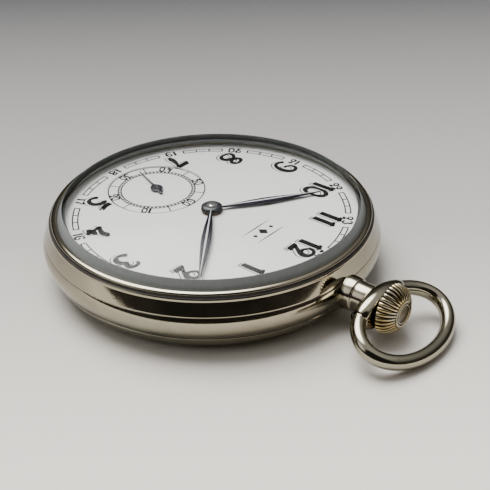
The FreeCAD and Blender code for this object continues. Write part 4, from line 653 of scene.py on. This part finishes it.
# Numerals as bars (corner points) and strokes (x, y, width), in units of the numeral's height.
GLYPHS = {
    "0": (0.62, [], [[(0.31, 0.97, 0.12), (0.13, 0.88, 0.10), (0.05, 0.66, 0.075), (0.04, 0.36, 0.085),
                      (0.12, 0.13, 0.12), (0.31, 0.03, 0.13), (0.49, 0.12, 0.10), (0.57, 0.34, 0.075),
                      (0.56, 0.64, 0.085), (0.48, 0.87, 0.12), (0.31, 0.97, 0.12)]]),
    "1": (0.30, [[(0.10, 0), (0.25, 0), (0.25, 0.97), (0.28, 1.0), (0.0, 0.86), (0.02, 0.80),
                  (0.10, 0.82)]], []),
    "2": (0.60, [[(0.05, 0.0), (0.16, 0.15), (0.57, 0.16), (0.52, 0.0)]],
          [[(0.38, 0.53, 0.07), (0.23, 0.50, 0.05), (0.05, 0.66, 0.05), (0.09, 0.88, 0.06),
            (0.29, 0.97, 0.07), (0.49, 0.88, 0.14), (0.53, 0.70, 0.17), (0.43, 0.47, 0.11),
            (0.27, 0.22, 0.05), (0.10, 0.03, 0.04)]]),
    "3": (0.66, [], [[(0.11, 0.80, 0.03), (0.22, 0.94, 0.06), (0.38, 0.97, 0.08), (0.55, 0.87, 0.16),
                      (0.54, 0.70, 0.15), (0.40, 0.51, 0.05)],
                     [(0.38, 0.53, 0.04), (0.55, 0.49, 0.12), (0.62, 0.31, 0.17), (0.54, 0.11, 0.12),
                      (0.37, 0.03, 0.07), (0.17, 0.09, 0.12), (0.05, 0.22, 0.14)]]),
    "4": (0.82, [], [[(0.38, 0.99, 0.02), (0.31, 0.82, 0.21), (0.33, 0.64, 0.16), (0.21, 0.38, 0.09),
                      (0.03, 0.19, 0.04)],
                     [(0.02, 0.21, 0.04), (0.40, 0.24, 0.09), (0.80, 0.27, 0.08)],
                     [(0.57, 0.54, 0.03), (0.53, 0.38, 0.17), (0.53, 0.14, 0.17), (0.49, 0.0, 0.05)]]),
    "5": (0.64, [[(0.08, 0.80), (0.08, 0.96), (0.31, 0.94), (0.63, 1.04), (0.52, 0.90), (0.36, 0.81)]],
          [[(0.07, 0.50, 0.08), (0.13, 0.60, 0.13), (0.30, 0.61, 0.15), (0.49, 0.50, 0.14),
            (0.57, 0.32, 0.13), (0.51, 0.12, 0.09), (0.35, 0.03, 0.06), (0.17, 0.06, 0.10),
            (0.04, 0.16, 0.11)]]),
    "7": (0.66, [[(0.0, 0.82), (0.12, 1.0), (0.66, 0.99), (0.57, 0.84)]],
          [[(0.62, 0.96, 0.03), (0.50, 0.70, 0.06), (0.39, 0.45, 0.13), (0.33, 0.22, 0.17),
            (0.28, 0.0, 0.05)]]),
    "8": (0.70, [], [[(0.42, 0.97, 0.06), (0.22, 0.89, 0.08), (0.17, 0.75, 0.11), (0.31, 0.59, 0.17),
                      (0.55, 0.44, 0.17), (0.65, 0.26, 0.13), (0.56, 0.08, 0.08), (0.36, 0.03, 0.06),
                      (0.13, 0.10, 0.08), (0.06, 0.26, 0.10), (0.15, 0.43, 0.07), (0.37, 0.56, 0.05),
                      (0.60, 0.69, 0.08), (0.64, 0.83, 0.10), (0.56, 0.94, 0.08), (0.42, 0.97, 0.06)]]),
    "9": (0.72, [], [[(0.43, 0.48, 0.07), (0.28, 0.49, 0.05), (0.11, 0.64, 0.07), (0.12, 0.84, 0.07),
                      (0.30, 0.96, 0.08), (0.52, 0.88, 0.15), (0.64, 0.60, 0.16), (0.60, 0.26, 0.10),
                      (0.43, 0.05, 0.06), (0.21, 0.05, 0.09), (0.05, 0.18, 0.12)]]),
}
PRINT_LIFT = 0.006      # height between one layer of print and the next
THINNEST = 0.02         # narrowest pen stroke, in units of the numeral's height


def half_turned(glyph):
    """A 6 is a 9 turned half round."""
    width, bars, strokes = glyph
    turned = [[(width - x, 1 - y, wide) for x, y, wide in stroke] for stroke in strokes]
    return width, bars, turned


GLYPHS["6"] = half_turned(GLYPHS["9"])


class Print:
    """Flat artwork gathered into one mesh, just above the dial; paper faces cover ink below them."""

    def __init__(self):
        self.vertices, self.faces, self.papers = [], [], []

    def face(self, points, level, paper=False):
        first = len(self.vertices)
        self.vertices += [(x, y, level) for x, y in points]
        self.faces.append(tuple(range(first, first + len(points))))
        self.papers.append(1 if paper else 0)

    def ribbon(self, points, level, paper=False, closed=False):
        """A band along (x, y, width) points."""
        count = len(points)
        sides = []
        for index, (x, y, width) in enumerate(points):
            if closed:
                ahead, behind = points[(index + 1) % count], points[index - 1]
            else:
                ahead, behind = points[min(index + 1, count - 1)], points[max(index - 1, 0)]
            run = Vector((ahead[0] - behind[0], ahead[1] - behind[1])).normalized()
            side = Vector((-run.y, run.x)) * width / 2
            sides.append(((x + side.x, y + side.y), (x - side.x, y - side.y)))
        for index in range(count if closed else count - 1):
            (a, b), (c, d) = sides[index], sides[(index + 1) % count]
            self.face([b, d, c, a], level, paper)

    def ring(self, centre, radius, width, level, first=0.0, last=360.0):
        """A circle or an arc, between two clock angles in degrees."""
        steps = max(int((last - first) / 2), 4)
        points = []
        for step in range(steps + 1):
            x, y = clock(first + (last - first) * step / steps, radius)
            points.append((centre[0] + x, centre[1] + y, width))
        self.ribbon(points, level)

    def tick(self, centre, angle, inner, outer, width, level):
        ends = [clock(angle, radius) for radius in (inner, outer)]
        self.ribbon([(centre[0] + x, centre[1] + y, width) for x, y in ends], level)

    def build(self, name):
        return make_object(name, self.vertices, self.faces, [PRINT, ENAMEL], "case",
                           flat=True, choices=self.papers)


def clock(degrees, radius):
    """A point clockwise from 12."""
    angle = math.radians(degrees)
    return radius * math.sin(angle), radius * math.cos(angle)


def curve_through(points, steps=7):
    """Catmull-Rom points through a stroke's points, width included."""
    padded = [points[0]] + list(points) + [points[-1]]
    if points[0] == points[-1]:
        padded[0], padded[-1] = points[-2], points[1]
    result = []
    for a, b, c, d in zip(padded, padded[1:], padded[2:], padded[3:]):
        for step in range(steps):
            t = step / steps
            result.append(tuple(
                0.5 * (2 * q + (r - p) * t + (2 * p - 5 * q + 4 * r - s) * t * t
                       + (3 * q - p - 3 * r + s) * t ** 3)
                for p, q, r, s in zip(a, b, c, d)))
    result.append(points[-1])
    return result


def text_width(text, spacing):
    return sum(GLYPHS[letter][0] for letter in text) + spacing * (len(text) - 1)


def draw_text(art, text, place, height, level, turn=0.0, spacing=0.13, paper=False, shift=(0, 0),
              heavier=0.0):
    """Numerals centred on a place, turned anticlockwise by an angle in degrees; shift, spacing
    and heavier (added to each stroke's width) are in units of the height."""
    angle = math.radians(turn)
    along = -text_width(text, spacing) / 2
    for letter in text:
        width, bars, strokes = GLYPHS[letter]

        def put(x, y):
            u = (x + along + shift[0]) * height
            v = (y - 0.5 + shift[1]) * height
            return (place[0] + u * math.cos(angle) - v * math.sin(angle),
                    place[1] + u * math.sin(angle) + v * math.cos(angle))

        for bar in bars:
            corners = [put(x, y) for x, y in bar]
            area = sum(p[0] * q[1] - q[0] * p[1] for p, q in zip(corners, corners[1:] + corners[:1]))
            art.face(corners if area > 0 else corners[::-1], level, paper)
            art.ribbon([(x, y, heavier * height) for x, y in corners], level, paper, closed=True)
        for stroke in strokes:
            curve = [(*put(x, y), max(wide + heavier, THINNEST) * height)
                     for x, y, wide in curve_through(stroke)]
            art.ribbon(curve, level, paper)
        along += width + spacing


def build_hour_numerals():
    """Arabic hours with a hairline echo below and to the right of each: the echo is an inked
    copy, all but its far edge covered by a paper copy."""
    art = Print()
    height, reach, outer_shift = 3.62, 16.5, 0.55
    bold = 0.095
    echo = (0.088, -0.092)
    back_off = (-0.03, 0.03)
    inner = (echo[0] + back_off[0], echo[1] + back_off[1])
    for hour in (1, 2, 3, 4, 5, 7, 8, 9, 10, 11, 12):
        place = clock(hour * 30, reach + (outer_shift if hour in (3, 9) else 0.0))
        text = str(hour)
        space = 0.16 if hour == 11 else 0.11
        first, second, third = (DIAL_TOP + layer * PRINT_LIFT for layer in (1, 2, 3))
        draw_text(art, text, place, height, first, spacing=space, shift=echo, heavier=bold)
        draw_text(art, text, place, height, second, spacing=space, paper=True, shift=inner, heavier=bold)
        draw_text(art, text, place, height, third, spacing=space, heavier=bold)
    art.build("dial_hour_numerals")


def build_minute_track():
    """Open strips of three cells between the hours, and small numerals 13 to 24 in the gaps."""
    art = Print()
    level = DIAL_TOP + PRINT_LIFT
    inner, outer, line = 18.88, 19.62, 0.19
    for hour in range(12):
        start, end = hour * 30 + 6, hour * 30 + 24
        for radius in (inner, outer):
            art.ring((0, 0), radius, line, level, start, end)
        for minute in range(1, 5):
            angle = hour * 30 + 6 * minute
            art.tick((0, 0), angle, inner - line / 2, outer + line / 2, line * 1.15, level)
        number = hour + 12 if hour else 24
        upside = 100 < hour * 30 < 260
        turn = -hour * 30 + (180 if upside else 0)
        place = clock(hour * 30, (inner + outer) / 2)
        draw_text(art, str(number), place, 1.4, level, turn, spacing=0.18, heavier=0.12)
    art.build("dial_minute_track")


def build_seconds_track(level):
    """Sunk seconds dial: outer circle, numerals by tens, separators and a fine inner track."""
    art = Print()
    edge, track_outer, track_inner, line = 7.08, 5.64, 5.2, 0.17
    art.ring(SECONDS_CENTRE, edge, 0.18, level)
    art.ring(SECONDS_CENTRE, track_outer, line, level)
    art.ring(SECONDS_CENTRE, track_inner, line, level)
    for second in range(60):
        width = 0.3 if second % 5 == 0 else 0.25
        art.tick(SECONDS_CENTRE, second * 6, track_inner + 0.02, track_outer - 0.02, width, level)
    for second in range(5, 60, 10):
        art.tick(SECONDS_CENTRE, second * 6, track_outer - 0.02, edge, line, level)
    for second in range(10, 70, 10):
        x, y = clock(second * 6, (track_outer + edge) / 2)
        angle = second * 6 % 360
        turn = -angle + (180 if 100 < angle < 260 else 0)
        place = (SECONDS_CENTRE[0] + x, SECONDS_CENTRE[1] + y)
        draw_text(art, str(second), place, 1.25, level, turn, spacing=0.18, heavier=0.12)
    art.build("dial_seconds_track")


def build_ornament():
    """A plain printed ornament below 12: a lozenge between two fine lines."""
    art = Print()
    level = DIAL_TOP + PRINT_LIFT
    middle = 9.3
    for x, size in ((-1.7, 0.34), (0.0, 0.68), (1.7, 0.34)):
        tall = size * 1.25
        art.face([(x - size, middle), (x, middle - tall), (x + size, middle), (x, middle + tall)], level)
    for y in (middle - 1.35, middle + 1.35):
        swell = ((-2.9, 0.05), (-1.5, 0.16), (0, 0.22), (1.5, 0.16), (2.9, 0.05))
        art.ribbon([(x, y, width) for x, width in swell], level)
    art.build("dial_ornament")


# ---------------------------------------------------------------- hands

def leaf_hand(name, node, body, angle, centre, level, length, boss, widest, widest_at, neck, thick):
    """A domed leaf hand with a round boss and a painted highlight along its crest, pointing at a clock
    angle.
    """
    steps, across = 60, 12
    stations = []
    for step in range(steps + 1):
        share = step / steps
        reach = boss * 0.8 + (length - boss * 0.8) * share
        s = reach / length
        if s < widest_at:
            t = max((s - boss * 0.8 / length) / (widest_at - boss * 0.8 / length), 0)
            half = neck + (widest - neck) * math.sin(t * math.pi / 2) ** 1.25
        else:
            t = (s - widest_at) / (1 - widest_at)
            half = widest * (1 - t ** 1.35) + 0.03 * t
        stations.append((reach, max(half, 0.03)))
    vertices, faces = [], []
    turn = Matrix.Rotation(-math.radians(angle), 3, "Z")
    origin = Vector((centre[0], centre[1], level))
    for reach, half in stations:
        row = []
        for step in range(across + 1):
            u = -1 + 2 * step / across
            row.append(Vector((half * u, reach, thick * (1 - 0.85 * u * u))))
        row += [Vector((half, reach, 0)), Vector((-half, reach, 0))]
        vertices += [turn @ point + origin for point in row]
    around = across + 3
    faces += ring_faces(len(stations), around)
    first = len(vertices)
    blade_faces = len(faces)
    dome = [(0.42, thick + 0.05), (boss * 0.55, thick + 0.1), (boss * 0.85, thick + 0.02),
            (boss * 0.97, thick * 0.5),
            (boss, 0.02), (boss, -0.02), (0.3, -0.02)]
    ring_steps = 64
    for radius, height in dome:
        for step in range(ring_steps):
            a = 2 * math.pi * step / ring_steps
            vertices.append(Vector((radius * math.cos(a), radius * math.sin(a), height)) + origin)
    faces += ring_faces(len(dome), ring_steps, closed_ends=False, first=first)
    # The two middle columns of each blade take the painted highlight.
    crest = (across // 2 - 1, across // 2)
    choices = [2 if index % around in crest else 0 for index in range(blade_faces)]
    choices += [1] * (len(faces) - blade_faces)
    looks = [BLUED_HAND, BLUED_PLAIN, CREST_HIGHLIGHT]
    made = make_object(name, vertices, faces, looks, body, sharp=50, choices=choices)
    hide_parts(node)


def build_hands():
    low, high = node_box("hour_hand")
    leaf_hand("hour_leaf", "hour_hand", "hour_wheel", HOUR_ANGLE, HANDS_CENTRE, low.z, 16.3,
              1.55, 0.82, 0.50, 0.24, high.z - low.z)
    low, high = node_box("minute_hand")
    leaf_hand("minute_leaf", "minute_hand", "centre", MINUTE_ANGLE, HANDS_CENTRE, low.z, 19.1,
              1.5, 0.70, 0.50, 0.24, high.z - low.z)
    low, high = node_box("seconds_hand")
    thick = high.z - low.z
    turn = Matrix.Rotation(-math.radians(SECONDS_ANGLE), 3, "Z")
    origin = Vector((*SECONDS_CENTRE, low.z))
    vertices = []
    # Distance from the boss and half width, from the tail to the tip.
    rows = [(-1.75, 0.14), (-1.6, 0.3), (-1.35, 0.34), (-1.15, 0.27), (-0.95, 0.3), (-0.75, 0.6),
            (-0.4, 0.84), (0.0, 0.92), (0.4, 0.84), (0.75, 0.58), (1.0, 0.26), (1.3, 0.13), (2.5, 0.105),
            (4.5, 0.08), (6.0, 0.045)]
    for reach, half in rows:
        for u in (-1, -0.5, 0, 0.5, 1):
            vertices.append(turn @ Vector((half * u, reach, thick * (1 - 0.5 * u * u))) + origin)
        for u in (1, -1):
            vertices.append(turn @ Vector((half * u, reach, 0)) + origin)
    faces = [face[::-1] for face in ring_faces(len(rows), 7)]
    made = make_object("seconds_leaf", vertices, faces, BLUED_PLAIN, "fourth", sharp=50)
    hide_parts("seconds_hand")


# ---------------------------------------------------------------- CAD nodes that stay

NODE_LOOKS = {
    "dial": ENAMEL,
    "dust_cover": NICKEL_INSIDE,
    "main_plate": GILT,
    "barrel_bridge": STRIPED, "train_bridge": STRIPED, "pallet_bridge": STRIPED, "balance_cock": STRIPED,
    "bridge_screws": BLUED_PLAIN, "case_screws": BLUED_PLAIN, "crown_wheel_screw": BLUED_PLAIN,
    "ratchet_screw": BLUED_PLAIN, "balance_screws": BRASS, "balance_wheel": BRASS,
    "train_jewels": RUBY, "pallet_stones": RUBY, "impulse_jewel": RUBY,
    "hairspring": BLUED_PLAIN, "mainspring": STEEL_SPRING, "regulator": STEEL,
    "barrel_drum": BRASS, "barrel_cover": BRASS,
    "centre_wheel": BRASS, "third_wheel": BRASS, "fourth_wheel": BRASS, "minute_wheel": BRASS,
    "hour_wheel": BRASS, "hairspring_collet": BRASS, "cannon_pinion": STEEL,
}


def dress_cad_nodes():
    for name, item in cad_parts.items():
        item.data.materials.clear()
        item.data.materials.append(NODE_LOOKS.get(name, STEEL))


# ---------------------------------------------------------------- stage

def build_stage():
    floor_mesh = bpy.data.meshes.new("floor")
    half = 3.0              # metres
    corners = [(-half, -half, 0), (half, -half, 0), (half, half, 0), (-half, half, 0)]
    floor_mesh.from_pydata(corners, [], [(0, 1, 2, 3)])
    floor_mesh.materials.append(floor_paper())
    floor = bpy.data.objects.new("floor", floor_mesh)
    floor.location.z = -0.02 * MM
    bpy.context.scene.collection.objects.link(floor)


def camera_axes():
    """Right, up and back of the camera, with its small roll."""
    a, e, roll = CAMERA_AZIMUTH, CAMERA_ELEVATION, CAMERA_ROLL
    back = Vector((math.sin(a) * math.cos(e), -math.cos(a) * math.cos(e), math.sin(e)))
    right = Vector((math.cos(a), math.sin(a), 0))
    up = back.cross(right)
    rolled_right = right * math.cos(roll) + up * math.sin(roll)
    rolled_up = up * math.cos(roll) - right * math.sin(roll)
    return rolled_right, rolled_up, back


def build_camera():
    """A short telephoto, low over the crown side."""
    right, up, back = camera_axes()
    data = bpy.data.cameras.new("camera")
    data.sensor_width = 36
    data.lens = 83.78
    camera = bpy.data.objects.new("camera", data)
    distance, aside, below = 161.54, 4.689, -4.847
    spot = Vector((0, 0, DIAL_TOP)) + back * distance + right * aside + up * below
    camera.matrix_world = Matrix.Translation(spot * MM) @ Matrix((right, up, back)).transposed().to_4x4()
    data.clip_start, data.clip_end = 0.01, 20
    bpy.context.scene.collection.objects.link(camera)
    bpy.context.scene.camera = camera


def glow(tree, direction, azimuth, elevation, reach, edge):
    """1 inside a round patch of sky, fading to 0; reach and edge are in degrees."""
    a, e = math.radians(azimuth), math.radians(elevation)
    middle = Vector((math.sin(a) * math.cos(e), -math.cos(a) * math.cos(e), math.sin(e)))
    toward = add(tree, "ShaderNodeVectorMath", {0: direction, 1: middle}, operation="DOT_PRODUCT")
    rim, core = math.radians(reach + edge), math.radians(max(reach - edge, 0))
    return add(tree, "ShaderNodeMapRange", {
        "Value": toward.outputs["Value"], "From Min": math.cos(rim), "From Max": math.cos(core)},
        interpolation_type="SMOOTHSTEP").outputs[0]


def build_world():
    """A studio: bright diffuse ceiling, a dim room round the horizon, soft windows at the sides."""
    world = bpy.data.worlds.new("room")
    bpy.context.scene.world = world
    world.use_nodes = True
    tree = world.node_tree
    direction = add(tree, "ShaderNodeTexCoord").outputs["Generated"]
    height = add(tree, "ShaderNodeSeparateXYZ", {"Vector": direction}).outputs["Z"]
    sky = ramp(tree, height, (0.0, (0.045, 0.040, 0.034)), (0.42, (0.085, 0.078, 0.07)),
               (0.62, (0.34, 0.335, 0.32)), (0.85, (0.72, 0.71, 0.70)), smooth=True)
    for azimuth, elevation, reach, edge, colour in WINDOWS:
        patch = glow(tree, direction, azimuth, elevation, reach, edge)
        sky = mix(tree, patch, sky, colour)
    background = tree.nodes["Background"]
    tree.links.new(sky, background.inputs["Color"])
    background.inputs["Strength"].default_value = WORLD_STRENGTH


WORLD_STRENGTH = 1.0
# Patches of the room: azimuth, elevation, reach and soft edge in degrees, and colour.
WINDOWS = [
    (-15, 63, 21, 9, (11.5, 11.4, 11.1)),
    (60, 34, 14, 8, (1.6, 1.55, 1.5)),
    (131, 27, 40, 5, (0.03, 0.028, 0.026)),
]


def main():
    build_case()
    build_crystal()
    build_pendant()
    build_crown()
    build_bow()
    build_hour_numerals()
    build_minute_track()
    build_seconds_track(DIAL_TOP - 0.12 + PRINT_LIFT)
    build_ornament()
    build_hands()
    dress_cad_nodes()
    build_stage()
    build_camera()
    build_world()


main()
